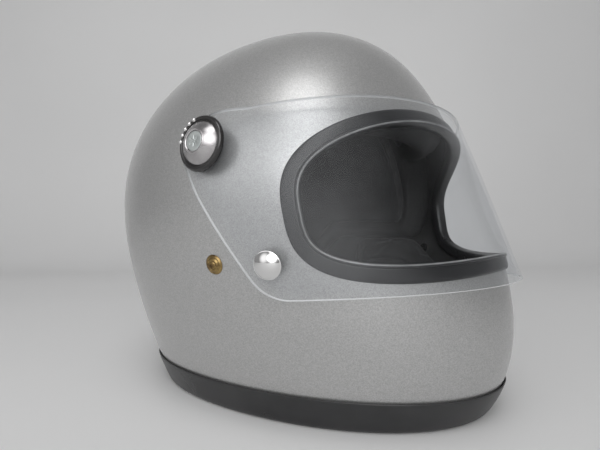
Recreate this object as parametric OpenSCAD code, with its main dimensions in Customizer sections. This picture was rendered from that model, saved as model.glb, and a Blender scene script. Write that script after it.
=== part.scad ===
// Full-face racing helmet with a clear flip-up visor, soft lining and a double-ring chin strap.
// +X points forward, +Y to the wearer's left and +Z up. The base trim stands on Z = 0.
// One formula gives the shell: egg-shaped sections whose front, side and back radii follow
// smooth curves from the base to the crown. Every other piece is placed on that surface.

/* [Shell] */
// Length of the shell at its longest
shell_len = 300; // [285:1:315]
// Width of the shell at its widest
shell_w = 245; // [232:1:260]
// Height of the crown above the ground
shell_h = 260; // [248:1:275]
// Thickness of the shell wall
wall = 4; // [3:0.5:5]

/* [Eye port] */
// Half the angle that the port spans round the shell
port_half_angle = 57; // [54:0.5:59]
// Height of the port at the front
port_h = 87; // [78:1:92]
// Height of the port's middle line at the front
port_mid_z = 135; // [130:1:140]
// How far the port's middle line falls towards the sides
port_drop = 33; // [20:1:36]
// Width of the rubber band round the port
gasket_w = 10; // [8:0.5:11]
// Thickness of the rubber band round the port
gasket_t = 1.8; // [1.4:0.1:2]

/* [Base trim] */
// Height of the rubber trim round the base
trim_h = 19.5; // [17:0.5:22]
// How far the trim stands out from the shell
trim_t = 1.6; // [1.2:0.1:2.4]

/* [Visor] */
// Thickness of the visor
visor_t = 2; // [1.6:0.1:2.4]
// Height of the visor's top edge at the front
visor_top_z = 186; // [183:0.1:188]
// Height of the visor's bottom edge at the front
visor_bottom_z = 81; // [78:0.5:86]
// Gap from shell to visor at the brow
visor_brow_gap = 7.4; // [7.1:0.1:8.2]
// Gap from shell to visor at the chin
visor_chin_gap = 7.5; // [7:0.1:10]
// Gap from shell to visor at the sides
visor_side_gap = 4.8; // [4.6:0.1:5.4]
// Radius of the visor's ears
ear_r = 16; // [15.8:0.1:17]
// How far the ears' middles lie below the pivots
ear_drop = 1; // [0:0.1:1.1]
// Radius of the visor's lower back corners
corner_r = 22; // [18:0.5:26]
// Distance of the middle of those corners in front of the shell's pole
corner_x = 76.2; // [74:0.1:79]
// How far the visor's lower back corners hang below its front edge
corner_drop = 5.3; // [4:0.1:7]

/* [Visor pivots] */
// Distance of the pivots in front of the shell's pole
pivot_x = 33.5; // [31:0.5:34]
// Height of the pivots
pivot_z = 158; // [157.5:0.5:160]
// Gap from shell to visor at the pivots
ear_gap = 4.5; // [4.4:0.1:5.4]
// Radius of the pivot pins
pin_r = 3; // [2.5:0.1:3.2]
// Radius of the black knob ring
ring_r = 15.5; // [15:0.1:16]
// Thickness of the black knob ring
ring_t = 3; // [2.8:0.1:3.4]
// Radius of the bright cap on the ring
cap_r = 12.4; // [12:0.1:12.6]
// Height of the bright cap above the ring
cap_h = 4; // [3.4:0.1:5]

/* [Snaps and rivets] */
// Radius of the visor's snap caps
snap_r = 7.7; // [7:0.1:8.2]
// Distance of the snaps in from the visor's rounded corners
snap_inset = 13.5; // [12:0.1:15]
// Radius of the snap studs on the shell
stud_r = 3; // [2.6:0.1:3.4]
// Radius of the brass rivet heads
rivet_r = 5.7; // [5:0.1:6.2]
// Distance of the rivets in front of the shell's pole
rivet_x = 32; // [29:0.5:34]
// Height of the rivets
rivet_z = 93; // [90:0.5:96]

/* [Lining] */
// Thickness of the foam that takes the impact
foam_t = 25; // [20:1:28]
// Thickness of the fabric-covered comfort lining
comfort_t = 7; // [5:0.5:9]
// Thickness of the cheek pads
cheek_t = 24; // [20:1:27]
// Thickness of the chin bar's foam block
chin_t = 18; // [14:1:20]
// Thickness of the neck roll
neck_t = 18; // [14:1:20]

/* [Chin strap] */
// Width of the strap webbing
strap_w = 22; // [20:1:24]
// Thickness of the strap webbing
strap_t = 1.4; // [1.2:0.1:1.6]
// Thickness of the rings' wire
ring_wire = 3; // [2.6:0.1:3.4]

/* [Hidden] */
// Shape of the shell: curve controls from base to crown, as shares of half the length or width
half_len = shell_len / 2;
half_w = shell_w / 2;
front_curve = half_len * [0.94, 1.243, 0.88, 0.69, 1.063];
back_curve = half_len * [0.703, 0.99, 1.003, 0.927, 1.063];
side_curve = half_w * [0.718, 0.898, 1.106, 1.086, 0.959];
dome_start = 0.37 * shell_h;
dome_power = 2.43;
fullness = 0.019;
port_square = 3.1;

// Clearances
seat_gap = 0.3;
liner_gap = 0.7;
comfort_gap = 1.3;
run_gap = 0.08;

// Mesh counts
port_cols = 32;
back_cols = 36;
rows_below = 7;
rows_above = 14;
trim_cols = 60;

// Small sizes
shell_base_z = 4;
wall_level = wall / 0.85 + 0.8;
trim_seat = 0.5;
foam_out = wall + liner_gap;
foam_in = foam_out + foam_t;
comfort_out = foam_in + comfort_gap;
knob_tilt = 0.5;
ear_blend = 15;
dot_count = 5;
dot_start = 200;
dot_step = 15.5;
plate_t = 1.5;
snap_way = 205.5;

// Cushions: lowest and highest edge, and the angles round the shell at which they end
port_top = port_mid_z + port_h / 2;
brow_low = port_top + 13.5;
brow_h = 20;
brow_ends = [44, -44];
chin_z = shell_h * [0.085, 0.308];
chin_ends = [30, -30];
neck_z = shell_h * [0.062, 0.138];
neck_ends = [258, 102];
cheek_z = shell_h * [0.092, 0.315];
cheek_ends = [-34, -94];
cheek_rise = shell_h * 0.085;
// Foam's lower edge at the back, and its rises above the cheeks and over the port
foam_low = shell_h * 0.154;
foam_cheek_rise = shell_h * 0.277;
foam_over_port = 9.5;
foam_brow_rise = port_top + foam_over_port - foam_low - foam_cheek_rise;
comfort_rise = 6;
comfort_brow_rise = 24;

// Surface of the shell

function bezier(c, t) = let (u = 1 - t)
    c[0] * pow(u, 4) + 4 * c[1] * t * pow(u, 3) + 6 * c[2] * t * t * u * u
    + 4 * c[3] * pow(t, 3) * u + c[4] * pow(t, 4);
function dome(z) = let (d = max(0, (z - dome_start) / (shell_h - dome_start)))
    sqrt(max(0, 1 - pow(d, dome_power)));
function radii(z) = let (t = z / shell_h)
    dome(z) * [bezier(front_curve, t), bezier(side_curve, t), bezier(back_curve, t)];
function fill(a) = 1 + fullness * pow(sin(2 * a), 2);
// Point at angle a from the front on a section with front, side and back radii r
function on_section(r, a, z) = let (q = fill(a))
    [(r[2] + (r[0] - r[2]) * (1 + cos(a)) / 2) * cos(a) * q, r[1] * sin(a) * q, z];
// Angle at which such a section reaches x
function section_angle(r, x) = let (h = (r[0] + r[2]) / 2, g = (r[0] - r[2]) / 2,
    first = cosine_at(h, g, x), q = fill(acos(first)), second = cosine_at(h, g, x / q))
    acos(cosine_at(h, g, x / fill(acos(second))));
function cosine_at(h, g, x) = max(-1, min(1, 2 * x / (h + sqrt(max(0, h * h + 4 * g * x)))));
function shell_pt(a, z) = on_section(radii(z), a, z);
function unit(v) = v / norm(v);
function shell_normal(a, z) = z > shell_h - 0.01 ? [0, 0, 1]
    : let (dz = min(0.3, (shell_h - z) / 2))
      unit(cross(shell_pt(a + 0.1, z) - shell_pt(a - 0.1, z), shell_pt(a, z + dz) - shell_pt(a, z - dz)));
// Point at depth d under the shell's outer surface, square to it
function inset(a, z, d) = shell_pt(a, z) - d * shell_normal(a, z);
// Point at distance d outside the shell at the same height
function level(a, z, d) = let (n = shell_normal(a, z)) shell_pt(a, z) + d * unit([n[0], n[1], 0]);
function smooth(t) = let (u = max(0, min(1, t))) u * u * (3 - 2 * u);
// Ramp from 0 at angle a0 to 1 at angle a1, even round the back
function ramp(a, a0, a1) = smooth((cos(a) - cos(a0)) / (cos(a1) - cos(a0)));
function spread(r0, r1, n, i) = r0 + (r1 - r0) * i / n;
// Height of row k of a dome that starts at z0, closer together towards the crown
function dome_row(z0, n, k) = shell_h - (shell_h - z0) * (1 - sin(90 * k / n));

// Faces between grids of points

function band(n, a, b) = [for (i = [0:n - 1], f = [0, 1]) let (j = (i + 1) % n)
    f == 0 ? [a + i, b + i, b + j] : [a + i, b + j, a + j]];
function ladder(a, b) = [for (i = [0:len(a) - 2], f = [0, 1])
    f == 0 ? [a[i], b[i], b[i + 1]] : [a[i], b[i + 1], a[i + 1]]];
// A closed tube: m sections of n points each, the last joined to the first
module loop_solid(sections) {
    n = len(sections[0]);
    m = len(sections);
    polyhedron([for (s = sections) each s], [for (s = [0:m - 1]) each band(n, ((s + 1) % m) * n, s * n)]);
}
// A closed slab between two grids of the same size, outer one first
module slab_solid(outer, inner) {
    m = len(outer);
    n = len(outer[0]);
    far = m * n;
    rim = concat([for (j = [0:n - 1]) j], [for (i = [1:m - 1]) i * n + n - 1],
        [for (j = [n - 2:-1:0]) (m - 1) * n + j], [for (i = [m - 2:-1:0]) i * n]);
    row_of = function (start) [for (j = [0:n - 1]) start + j];
    polyhedron(concat([for (row = outer) each row], [for (row = inner) each row]), concat(
        [for (i = [0:m - 2]) each ladder(row_of(i * n), row_of((i + 1) * n))],
        [for (i = [0:m - 2]) each ladder(row_of(far + (i + 1) * n), row_of(far + i * n))],
        ladder([for (k = rim) k + far], rim)));
}
// A bowl between two depths under the shell, from edge(a) up to the crown
module bowl(depth_out, depth_in, edge, cols, rows) {
    angles = [for (i = [0:cols - 1]) 360 * i / cols];
    ring_of = function (k, depth) [for (a = angles) inset(a, dome_row(edge(a), rows, k), depth)];
    rings = concat([for (k = [rows - 1:-1:0]) ring_of(k, depth_in)],
        [for (k = [0:rows - 1]) ring_of(k, depth_out)]);
    count = len(rings) * cols;
    last = count - cols;
    poles = [[0, 0, shell_h - depth_in], [0, 0, shell_h - depth_out]];
    polyhedron(concat([for (r = rings) each r], poles), concat(
        [for (k = [0:len(rings) - 2]) each band(cols, k * cols, (k + 1) * cols)],
        [for (i = [0:cols - 1]) [count, i, (i + 1) % cols]],
        [for (i = [0:cols - 1]) [last + i, count + 1, last + (i + 1) % cols]]));
}
// A cushion on the inside of the shell: flat back, crowned face and drawn-in sides
draw_in = 0.62;
module cushion(ends, low, high, depth, thick, cols, rows, crown = 1) {
    grid = function (face) [for (i = [0:cols]) [for (j = [0:rows])
        let (a = spread(ends[0], ends[1], cols, i), u = 2 * i / cols - 1, v = 2 * j / rows - 1,
             swell = sqrt((1 - pow(abs(u), 4)) * (1 - pow(abs(v), 4))),
             part = 1 - crown * draw_in * (1 - swell))
        inset(a, spread(low(a), high(a), rows, j), depth + face * thick * part)]];
    slab_solid(grid(0), grid(1));
}

// Places on the shell, for the right side; the left side mirrors them

module set_down() translate([-(front_reach - back_reach) / 2, 0, 0]) children();
module on_side(side) set_down() mirror([0, side > 0 ? 1 : 0, 0]) children();
function angle_on_shell(x, z) = -section_angle(radii(z), x);
// Turns +Z to the direction n and moves to the point p
module facing(p, n) {
    tilt = acos(n[2]);
    turn = atan2(n[1], n[0]);
    translate(p) rotate([0, tilt, turn]) children();
}
front_low = radii(visor_bottom_z)[0] + visor_chin_gap;
front_high = radii(visor_top_z)[0] + visor_brow_gap;
visor_h = visor_top_z - visor_bottom_z;
pivot_angle = angle_on_shell(pivot_x, pivot_z);
pivot_skin = shell_pt(pivot_angle, pivot_z);
pivot_normal = shell_normal(pivot_angle, pivot_z);
knob_normal = unit([pivot_normal[0] * knob_tilt, pivot_normal[1], pivot_normal[2] * knob_tilt]);
ear_mid_y = pivot_skin[1] + ear_gap / pivot_normal[1];
ear_mid = [pivot_x, ear_mid_y, pivot_z];
rivet_angle = angle_on_shell(rivet_x, rivet_z);
rivet_skin = shell_pt(rivet_angle, rivet_z);
rivet_normal = shell_normal(rivet_angle, rivet_z);
corner_z = visor_bottom_z - corner_drop;
snap_x = corner_x + (corner_r - snap_inset) * cos(snap_way);
snap_z = corner_z + corner_r + (corner_r - snap_inset) * sin(snap_way);
snap_mid = visor_pt(snap_x, snap_z, 0);
snap_normal = visor_normal(snap_x, snap_z);
snap_skin_gap = norm(snap_mid - shell_pt(angle_on_shell(snap_x, snap_z), snap_z));

// Shell with its eye port

function port_mid(a) = port_mid_z - port_drop * (1 - cos(a));
function port_half(a) = port_h / 2 * pow(max(0, 1 - pow(min(1, abs(a) / port_half_angle), port_square)),
                                         1 / port_square);
function port_col(i) = -port_half_angle * cos(180 * i / port_cols);
shell_angles = concat([for (i = [0:port_cols]) port_col(i)],
    [for (j = [1:back_cols - 1]) spread(port_half_angle, 360 - port_half_angle, back_cols, j)]);
shell_cols = len(shell_angles);
function low_edge(i) = port_mid(shell_angles[i]) - (i <= port_cols ? port_half(shell_angles[i]) : 0);
function high_edge(i) = port_mid(shell_angles[i]) + (i <= port_cols ? port_half(shell_angles[i]) : 0);

module shell_skin() {
    n = shell_cols;
    side_pts = function (d) concat(
        [for (k = [0:rows_below], i = [0:n - 1])
            inset(shell_angles[i], spread(shell_base_z, low_edge(i), rows_below, k), d)],
        [for (i = [1:port_cols - 1]) inset(shell_angles[i], high_edge(i), d)],
        [for (k = [1:rows_above - 1], i = [0:n - 1])
            inset(shell_angles[i], dome_row(high_edge(i), rows_above, k), d)],
        [[0, 0, shell_h - d]]);
    outer = side_pts(0);
    far = len(outer);
    slit = rows_below * n;
    above = slit + n + port_cols - 1;
    pole = far - 1;
    around = function (start) [for (i = [0:n]) start + i % n];
    upper_row = [for (i = [0:n]) let (j = i % n) j > 0 && j < port_cols ? slit + n + j - 1 : slit + j];
    low_port = [for (i = [0:port_cols]) slit + i];
    high_port = [for (i = [0:port_cols]) upper_row[i]];
    skin = concat(
        [for (k = [0:rows_below - 1]) each band(n, k * n, (k + 1) * n)],
        ladder(upper_row, around(above)),
        [for (k = [0:rows_above - 3]) each band(n, above + k * n, above + (k + 1) * n)],
        [for (i = [0:n - 1]) [pole - n + i, pole, pole - n + (i + 1) % n]]);
    polyhedron(concat(outer, side_pts(wall)), concat(
        skin,
        [for (f = skin) [f[2] + far, f[1] + far, f[0] + far]],
        ladder([for (k = around(0)) k + far], around(0)),
        ladder(low_port, [for (k = low_port) k + far]),
        ladder([for (k = high_port) k + far], high_port)));
}

module outer_shell() color("silver") difference() {
    set_down() shell_skin();
    for (side = [-1, 1]) on_side(side) {
        translate([pivot_x, pivot_skin[1], pivot_z]) rotate([90, 0, 0])
            cylinder(r = pin_r + run_gap, h = 40, center = true, $fn = 48);
        at_rivet(0) cylinder(r = rivet_shank_r + run_gap, h = 24, center = true, $fn = 48);
        at_snap() cylinder(r = stud_shank_r + run_gap, h = 40, center = true, $fn = 48);
    }
}

// Rubber trims

module eyeport_gasket() color("#1b1b1c") set_down() {
    half = gasket_w / 2;
    under = -wall - seat_gap - 0.2;
    hook = -3.5;
    hook_end = under - 1.6;
    lip = gasket_t + 0.4;
    section = [[-half, seat_gap], [-half, gasket_t * 0.45], [-half + 1.2, gasket_t], [half - 2.2, lip - 0.2],
        [half - 1.6, lip], [half, lip], [half, -0.5], [half - 1.5, hook_end],
        [hook, hook_end], [hook, under], [seat_gap, under], [seat_gap, seat_gap]];
    edge = concat([for (i = [0:port_cols]) [shell_angles[i], low_edge(i)]],
        [for (i = [port_cols - 1:-1:1]) [shell_angles[i], high_edge(i)]]);
    m = len(edge);
    loop_solid([for (i = [0:m - 1]) let (
        here = edge[i], past = edge[(i + m - 1) % m], next = edge[(i + 1) % m],
        p = shell_pt(here[0], here[1]), normal = shell_normal(here[0], here[1]),
        along = unit(shell_pt(next[0], next[1]) - shell_pt(past[0], past[1])),
        inward = unit(cross(normal, along)))
        [for (s = section) p + s[0] * inward + s[1] * normal]]);
}

module base_trim() color("#1b1b1c") set_down() {
    inner = -wall_level - 1.6;
    inner_top = 14;
    floor_z = shell_base_z - seat_gap;
    section = [[inner, 2], [inner + 1.2, 0], [trim_t - 3, 0], [trim_t - 0.9, 0.8], [trim_t, 3],
        [trim_t, trim_h - 0.6], [trim_t - 0.5, trim_h], [trim_seat, trim_h], [trim_seat, floor_z],
        [-wall_level, floor_z], [-wall_level, inner_top], [inner, inner_top]];
    loop_solid([for (i = [0:trim_cols - 1]) let (a = 360 * i / trim_cols)
        [for (s = section) level(a, s[1], s[0])]]);
}

// Lining

// Lower edge of the foam: over the port at the front, above the cheek pads, low at the back
function foam_edge(a) = foam_low + foam_cheek_rise * ramp(a, 125, 100) + foam_brow_rise * ramp(a, 66, 48);
function comfort_edge(a) = foam_edge(a) + comfort_rise + comfort_brow_rise * ramp(a, 62, 47);
function straight(z) = function (a) z;
module impact_liner() color("#2b2b2d") difference() {
    set_down() bowl(foam_out, foam_in, function (a) foam_edge(a), 44, 12);
    for (side = [-1, 1]) on_side(side) along_pin(nut_y + 8) cylinder(r = nut_r + 4, h = 40, $fn = 48);
}
module comfort_liner() color("#151517") set_down()
    bowl(comfort_out, comfort_out + comfort_t, function (a) comfort_edge(a), 44, 12);
module brow_pad() color("#151517") set_down()
    cushion(brow_ends, straight(brow_low), straight(brow_low + brow_h), foam_in + liner_gap, comfort_t + 1, 20, 5);
module chin_bar_liner() color("#2b2b2d") set_down()
    cushion(chin_ends, straight(chin_z[0]), straight(chin_z[1]), foam_out, chin_t, 16, 5, 0.3);
module neck_roll() color("#151517") set_down()
    cushion(neck_ends, straight(neck_z[0]), straight(neck_z[1]), foam_out + seat_gap, neck_t, 32, 7);
function cheek_top(a) = cheek_z[1] + cheek_rise * ramp(a, 50, 66);
module cheek_pad() cushion(cheek_ends, straight(cheek_z[0]), function (a) cheek_top(a), cheek_depth, cheek_t,
    20, 10);
module cheek_pad_left() color("#151517") on_side(1) cheek_pad();
module cheek_pad_right() color("#151517") on_side(-1) cheek_pad();

// Visor

function visor_front(z) = front_low + (front_high - front_low) * (z - visor_bottom_z) / visor_h;
function visor_radii(z) = let (r = radii(z)) [visor_front(z), r[1] + visor_side_gap, r[2]];
front_reach = visor_front(visor_bottom_z) + visor_t / 2;
back_reach = max([for (z = [100:5:150]) radii(z)[2]]);
// Right half of the visor's side view: down from the ear's back point along each edge to the front
ear_c = [pivot_x, pivot_z - ear_drop];
corner_c = [corner_x, corner_z + corner_r];
brow_pt = [visor_front(visor_top_z), visor_top_z];
chin_pt = [visor_front(visor_bottom_z), visor_bottom_z];
function aim(v) = atan2(v[1], v[0]);
ear_top_turn = aim(brow_pt - ear_c) + acos(ear_r / norm(brow_pt - ear_c));
back_turn = aim(corner_c - ear_c) - acos((ear_r - corner_r) / norm(corner_c - ear_c)) + 360;
function arc(c, r, t0, t1, n) = [for (i = [0:n]) let (t = spread(t0, t1, n, i)) c + r * [cos(t), sin(t)]];
function run(p, q, n) = [for (i = [1:n]) p + (q - p) * i / n];
// The same, closer together towards q, where the visor turns square to the side view
function run_round(p, q, n) = [for (i = [1:n]) p + (q - p) * sin(90 * i / n)];
ear_back_turn = (ear_top_turn + back_turn) / 2;
upper_line = let (bend = arc(ear_c, ear_r, ear_back_turn, ear_top_turn, 6))
    concat(bend, run_round(bend[6], brow_pt, 16));
lower_line = let (bend = arc(ear_c, ear_r, ear_back_turn, back_turn, 6),
    corner = arc(corner_c, corner_r, back_turn, 270, 6))
    concat(bend, run(bend[6], corner[0], 2), [for (i = [1:6]) corner[i]], run_round(corner[6], chin_pt, 8));
// Point of the visor's middle surface, moved out by d; flat round the pivot
function visor_law(x, z) = on_section(visor_radii(z), -section_angle(visor_radii(z), x), z);
function flatten(p) = let (r = norm(p - ear_mid), w = 1 - smooth((r - ear_r - ear_drop) / ear_blend))
    p + w * ((ear_mid - p) * knob_normal) * knob_normal;
function visor_mid(x, z) = flatten(visor_law(x, z));
function visor_normal(x, z) = let (r = visor_radii(z), a = -section_angle(r, x),
    at = function (b, h) flatten(on_section(visor_radii(h), b, h)))
    unit(cross(at(a + 0.3, z) - at(a - 0.3, z), at(a, z + 0.5) - at(a, z - 0.5)));
function visor_pt(x, z, d) = visor_mid(x, z) + d * visor_normal(x, z);
visor_rows = 6;
function mirrored(p) = [p[0], -p[1], p[2]];
function visor_grid(d) = let (
    n = len(upper_line) - 1,
    right = [for (i = [0:n]) [for (j = [0:visor_rows])
        let (s = lower_line[i] + (upper_line[i] - lower_line[i]) * (i == 0 ? 0 : j / visor_rows))
        visor_pt(s[0], s[1], d)]])
    concat([for (i = [1:n]) [for (p = right[i]) mirrored(p)]], [for (i = [n - 1:-1:1]) right[i]]);

module visor() color([0.9, 0.93, 0.95, 0.35]) set_down() difference() {
    slab_solid(visor_grid(visor_t / 2), visor_grid(-visor_t / 2));
    for (side = [0, 1]) mirror([0, side, 0]) {
        translate(ear_mid) rotate([90, 0, 0])
            cylinder(r = pin_r + run_gap, h = 30, center = true, $fn = 48);
        at_snap() cylinder(r = cap_stem_r, h = 10, center = true, $fn = 48);
        for (i = [0:dot_count - 1]) at_dot(i) cylinder(r = dot_shank_r, h = 12, center = true, $fn = 24);
    }
}

// Pivots: the pin, nut and washer stay on the shell, the knob turns with the visor

dot_r = 1.15;
dot_shank_r = dot_r * 0.7;
dot_orbit = (ring_r + cap_r) / 2;
module at_knob(h) facing(ear_mid + (visor_t / 2 + h) * knob_normal, knob_normal) children();
module at_dot(i) at_knob(0) rotate(dot_start + dot_step * i) translate([dot_orbit, 0, 0]) children();
module at_pivot_skin(h) facing(pivot_skin, pivot_normal) translate([0, 0, h]) children();
module along_pin(y) translate([pivot_x, y, pivot_z]) rotate([90, 0, 0]) children();
pin_tilt = tan(acos(-knob_normal[1]));
head_r = 5.5;
nut_r = 7;
nut_t = 2.2;
nut_seat = 0.8;
head_y = ear_mid_y - visor_t / 2 - head_r * pin_tilt - 0.4;
nut_y = pivot_skin[1] + wall + 4.5;
module pivot_pin(side) color("#b8babd") on_side(side) {
    along_pin(nut_y + 2) cylinder(r = pin_r, h = nut_y + 2 - head_y, $fn = 48);
    along_pin(head_y) cylinder(r = head_r, h = 1.6, $fn = 48);
}
module pivot_nut(side) color("#9a9ca0") on_side(side) difference() {
    at_pivot_skin(-wall - nut_seat - nut_t) cylinder(r = nut_r, h = nut_t, $fn = 48);
    along_pin(nut_y + 20) cylinder(r = pin_r, h = 60, $fn = 48);
}
module pivot_washer(side) color("#2a2a2c") on_side(side) difference() {
    at_pivot_skin(seat_gap / 3) cylinder(r = 7.5, h = 1, $fn = 48);
    along_pin(nut_y + 20) cylinder(r = pin_r + run_gap, h = 60, $fn = 48);
}
ring_hole_r = 9.2;
// How deep the cap sits in the ring
cap_seat = 1;
module knob_ring(side) color("#1a1a1b") on_side(side) difference() {
    at_knob(0) rotate_extrude($fn = 96)
        polygon([[ring_hole_r, 0], [ring_r, 0], [ring_r, ring_t - 1.2], [ring_r - 0.9, ring_t],
                 [cap_r + 0.4, ring_t], [cap_r + 0.4, ring_t - cap_seat], [ring_hole_r, ring_t - cap_seat]]);
    for (i = [0:dot_count - 1]) at_dot(i)
        translate([0, 0, -1]) cylinder(r = dot_shank_r, h = ring_t + 2, $fn = 24);
}
module ring_rivets(side) color("#d8dadc") on_side(side) for (i = [0:dot_count - 1]) at_dot(i) {
    translate([0, 0, -visor_t - 0.2]) cylinder(r = dot_shank_r, h = ring_t + visor_t + 0.2, $fn = 24);
    translate([0, 0, ring_t]) intersection() {
        sphere(r = dot_r, $fn = 32);
        translate([0, 0, 2]) cube(4, center = true);
    }
}
// Profile of the cap from its foot to its top: between a straight cone and a quarter of an ellipse
cap_top_r = 6.5;
cap_bulge = 1.6;
cap_rise = cap_h + cap_seat;
cap_wall = 1.2;
function cap_side(foot_r, top_r, h) = [for (t = [10:10:80])
    [top_r + (foot_r - top_r) * pow(cos(t), cap_bulge), h * pow(sin(t), cap_bulge)]];
module knob_cap(side) color("#e3e4e6") on_side(side) at_knob(ring_t - cap_seat) difference() {
    rotate_extrude($fn = 96) difference() {
        polygon(concat([[0, 0], [cap_r, 0]], cap_side(cap_r, cap_top_r, cap_rise),
            [[cap_top_r, cap_rise], [0, cap_rise]]));
        polygon(concat([[0, -1], [cap_r - cap_wall, -1]],
            cap_side(cap_r - cap_wall, cap_top_r - cap_wall, cap_rise - 1.9), [[0, cap_rise - 1.9]]));
        translate([0, cap_rise - 0.5]) square([screw_r + 0.3, 2]);
        translate([0, cap_rise - 2]) square([screw_shank_r + 0.1, 4]);
    }
}
screw_r = cap_top_r - 1.1;
screw_shank_r = 1.6;
module knob_screw(side) color("#c9cccf") on_side(side) at_knob(ring_t + cap_h - 0.5) difference() {
    union() {
        cylinder(r = screw_r, h = 0.6, $fn = 64);
        translate([0, 0, -1.6]) cylinder(r = screw_shank_r, h = 1.8, $fn = 32);
    }
    for (i = [0:5]) rotate(60 * i) translate([0.9, -0.35, 0.3]) cube([2.4, 0.7, 1]);
}

// Visor snaps: cap and open spring clip on the visor, stud on the shell

cap_stem_r = 3.4;
clip_r = 5.4;
stud_shank_r = 2;
snap_rise = 3.4;
clip_depth = snap_skin_gap - visor_t / 2 - 1.4;
clip_end = -visor_t / 2 - clip_depth;
// The clip opens the way the stud leaves it when the visor lifts
lift_way = unit([pivot_z - snap_z, 0, snap_x - pivot_x]);
snap_turn = atan2(snap_normal[1], snap_normal[0]);
snap_tilt = acos(snap_normal[2]);
exit_turn = atan2(-lift_way * [-sin(snap_turn), cos(snap_turn), 0],
    -lift_way * [cos(snap_tilt) * cos(snap_turn), cos(snap_tilt) * sin(snap_turn), -sin(snap_tilt)]);
module at_snap() facing(snap_mid, snap_normal) children();
module snap_cap(side) color("#dcdde0") on_side(side) at_snap() difference() {
    union() {
        translate([0, 0, visor_t / 2 + seat_gap / 2]) dome_cap(snap_r, snap_rise);
        cylinder(r = cap_stem_r - run_gap, h = visor_t + 1.4, center = true, $fn = 48);
        translate([0, 0, clip_end]) cylinder(r = clip_r, h = clip_depth - 0.5, $fn = 48);
    }
    translate([0, 0, clip_end - 1]) cylinder(r = stud_r + 0.5, h = clip_depth + 0.4, $fn = 48);
    rotate(exit_turn) translate([0, -stud_r - 0.8, clip_end - 1])
        cube([12, 2 * stud_r + 1.6, clip_depth + 0.4]);
}
// A domed button: the slice of a sphere that rises h over a circle of radius r
module dome_cap(r, h) {
    ball = (r * r + h * h) / (2 * h);
    intersection() {
        translate([0, 0, h - ball]) sphere(r = ball, $fn = 96);
        cylinder(r = r, h = h + 1, $fn = 96);
    }
}
stud_top = -visor_t / 2 - 1.2;
stud_foot = -snap_skin_gap - wall - 1.5;
module snap_stud(side) color("#c4c6c8") on_side(side) at_snap() {
    translate([0, 0, stud_top - 1]) cylinder(r = stud_r, h = 1, $fn = 48);
    translate([0, 0, stud_foot]) cylinder(r = stud_shank_r, h = stud_top - 0.5 - stud_foot, $fn = 48);
    translate([0, 0, stud_foot - 0.5]) cylinder(r = 4.2, h = 1, $fn = 48);
}

// Chin strap: rivets through the shell, steel anchors inside, webbing and two rings

rivet_shank_r = 2.4;
rivet_rise = 2.4;
ring_groove_r = [2.4, 4.1];
// Room for the wall's curve behind the webbing, and play between webbing and steel
strap_room = 1.4;
strap_play = 0.25;
plate_depth = wall + strap_room + strap_t + strap_play;
cheek_depth = plate_depth + plate_t + strap_t + liner_gap;
plate_back = plate_depth + plate_t;
module at_rivet(h) facing(rivet_skin + h * rivet_normal, rivet_normal) children();
module strap_rivet(side) color("#a8843c") on_side(side) {
    at_rivet(seat_gap / 2) difference() {
        dome_cap(rivet_r, rivet_rise);
        for (r = ring_groove_r) translate([0, 0, 1.2]) difference() {
            cylinder(r = r + 0.25, h = 3, $fn = 64);
            translate([0, 0, -1]) cylinder(r = r - 0.25, h = 5, $fn = 64);
        }
    }
    at_rivet(-plate_back - 0.4) cylinder(r = rivet_shank_r, h = plate_back + 0.6, $fn = 48);
    at_rivet(-plate_back - 1) cylinder(r = 4, h = 0.8, $fn = 48);
}
// Frame at the rivet: third axis out of the shell, first axis down the wall
rivet_level = unit([rivet_normal[0], rivet_normal[1], 0]);
module down_the_wall(h) multmatrix(rivet_frame(h)) children();
function rivet_frame(h) = let (
    w = rivet_normal, u = unit([0, 0, -1] + (w[2]) * w), v = cross(w, u), p = rivet_skin + h * w)
    [[u[0], v[0], w[0], p[0]], [u[1], v[1], w[1], p[1]], [u[2], v[2], w[2], p[2]], [0, 0, 0, 1]];
plate_w = strap_w + 6;
plate_neck_w = 10;
slot_drop = 20;
slot_h = 3.4;
slot_rim = 4;
module strap_anchor(side) color("#8f9296") on_side(side) down_the_wall(-plate_back)
    linear_extrude(plate_t) difference() {
        union() {
            circle(r = 7.5, $fn = 48);
            translate([0, -plate_neck_w / 2]) square([slot_drop - slot_rim, plate_neck_w]);
            translate([slot_drop - slot_h / 2 - slot_rim, -plate_w / 2])
                square([slot_h + 2 * slot_rim, plate_w]);
        }
        circle(r = rivet_shank_r + run_gap, $fn = 48);
        translate([slot_drop - slot_h / 2, -strap_w / 2 - 0.6]) square([slot_h, strap_w + 1.2]);
    }
// Webbing bent along a path of [distance out from the pole axis, height] in the strap's upright plane
function side_step(p, i) = let (n = len(p), a = p[max(0, i - 1)], b = p[i], c = p[min(n - 1, i + 1)],
    d0 = i == 0 ? unit(c - b) : unit(b - a), d1 = i == n - 1 ? d0 : unit(c - b),
    m = unit(d0 + d1), s = 1 / max(0.4, m * d0)) s * [-m[1], m[0]];
module ribbon(path) {
    steps = [for (i = [0:len(path) - 1]) side_step(path, i) * strap_t / 2];
    polygon(concat([for (i = [0:len(path) - 1]) path[i] + steps[i]],
        [for (i = [len(path) - 1:-1:0]) path[i] - steps[i]]));
}
strap_axis = cross([0, 0, 1], rivet_level);
module strap_plane() {
    foot = rivet_skin * strap_axis;
    multmatrix([[rivet_level[0], 0, -strap_axis[0], foot * strap_axis[0]],
                [rivet_level[1], 0, -strap_axis[1], foot * strap_axis[1]],
                [0, 1, 0, 0], [0, 0, 0, 1]]) children();
}
// Distance out from the pole axis at height z and depth d under the shell, in the strap's plane
function wall_out(z, d) = let (n = shell_normal(rivet_angle, z), h = norm([n[0], n[1]]))
    level(rivet_angle, z, -d / h) * rivet_level;
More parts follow.
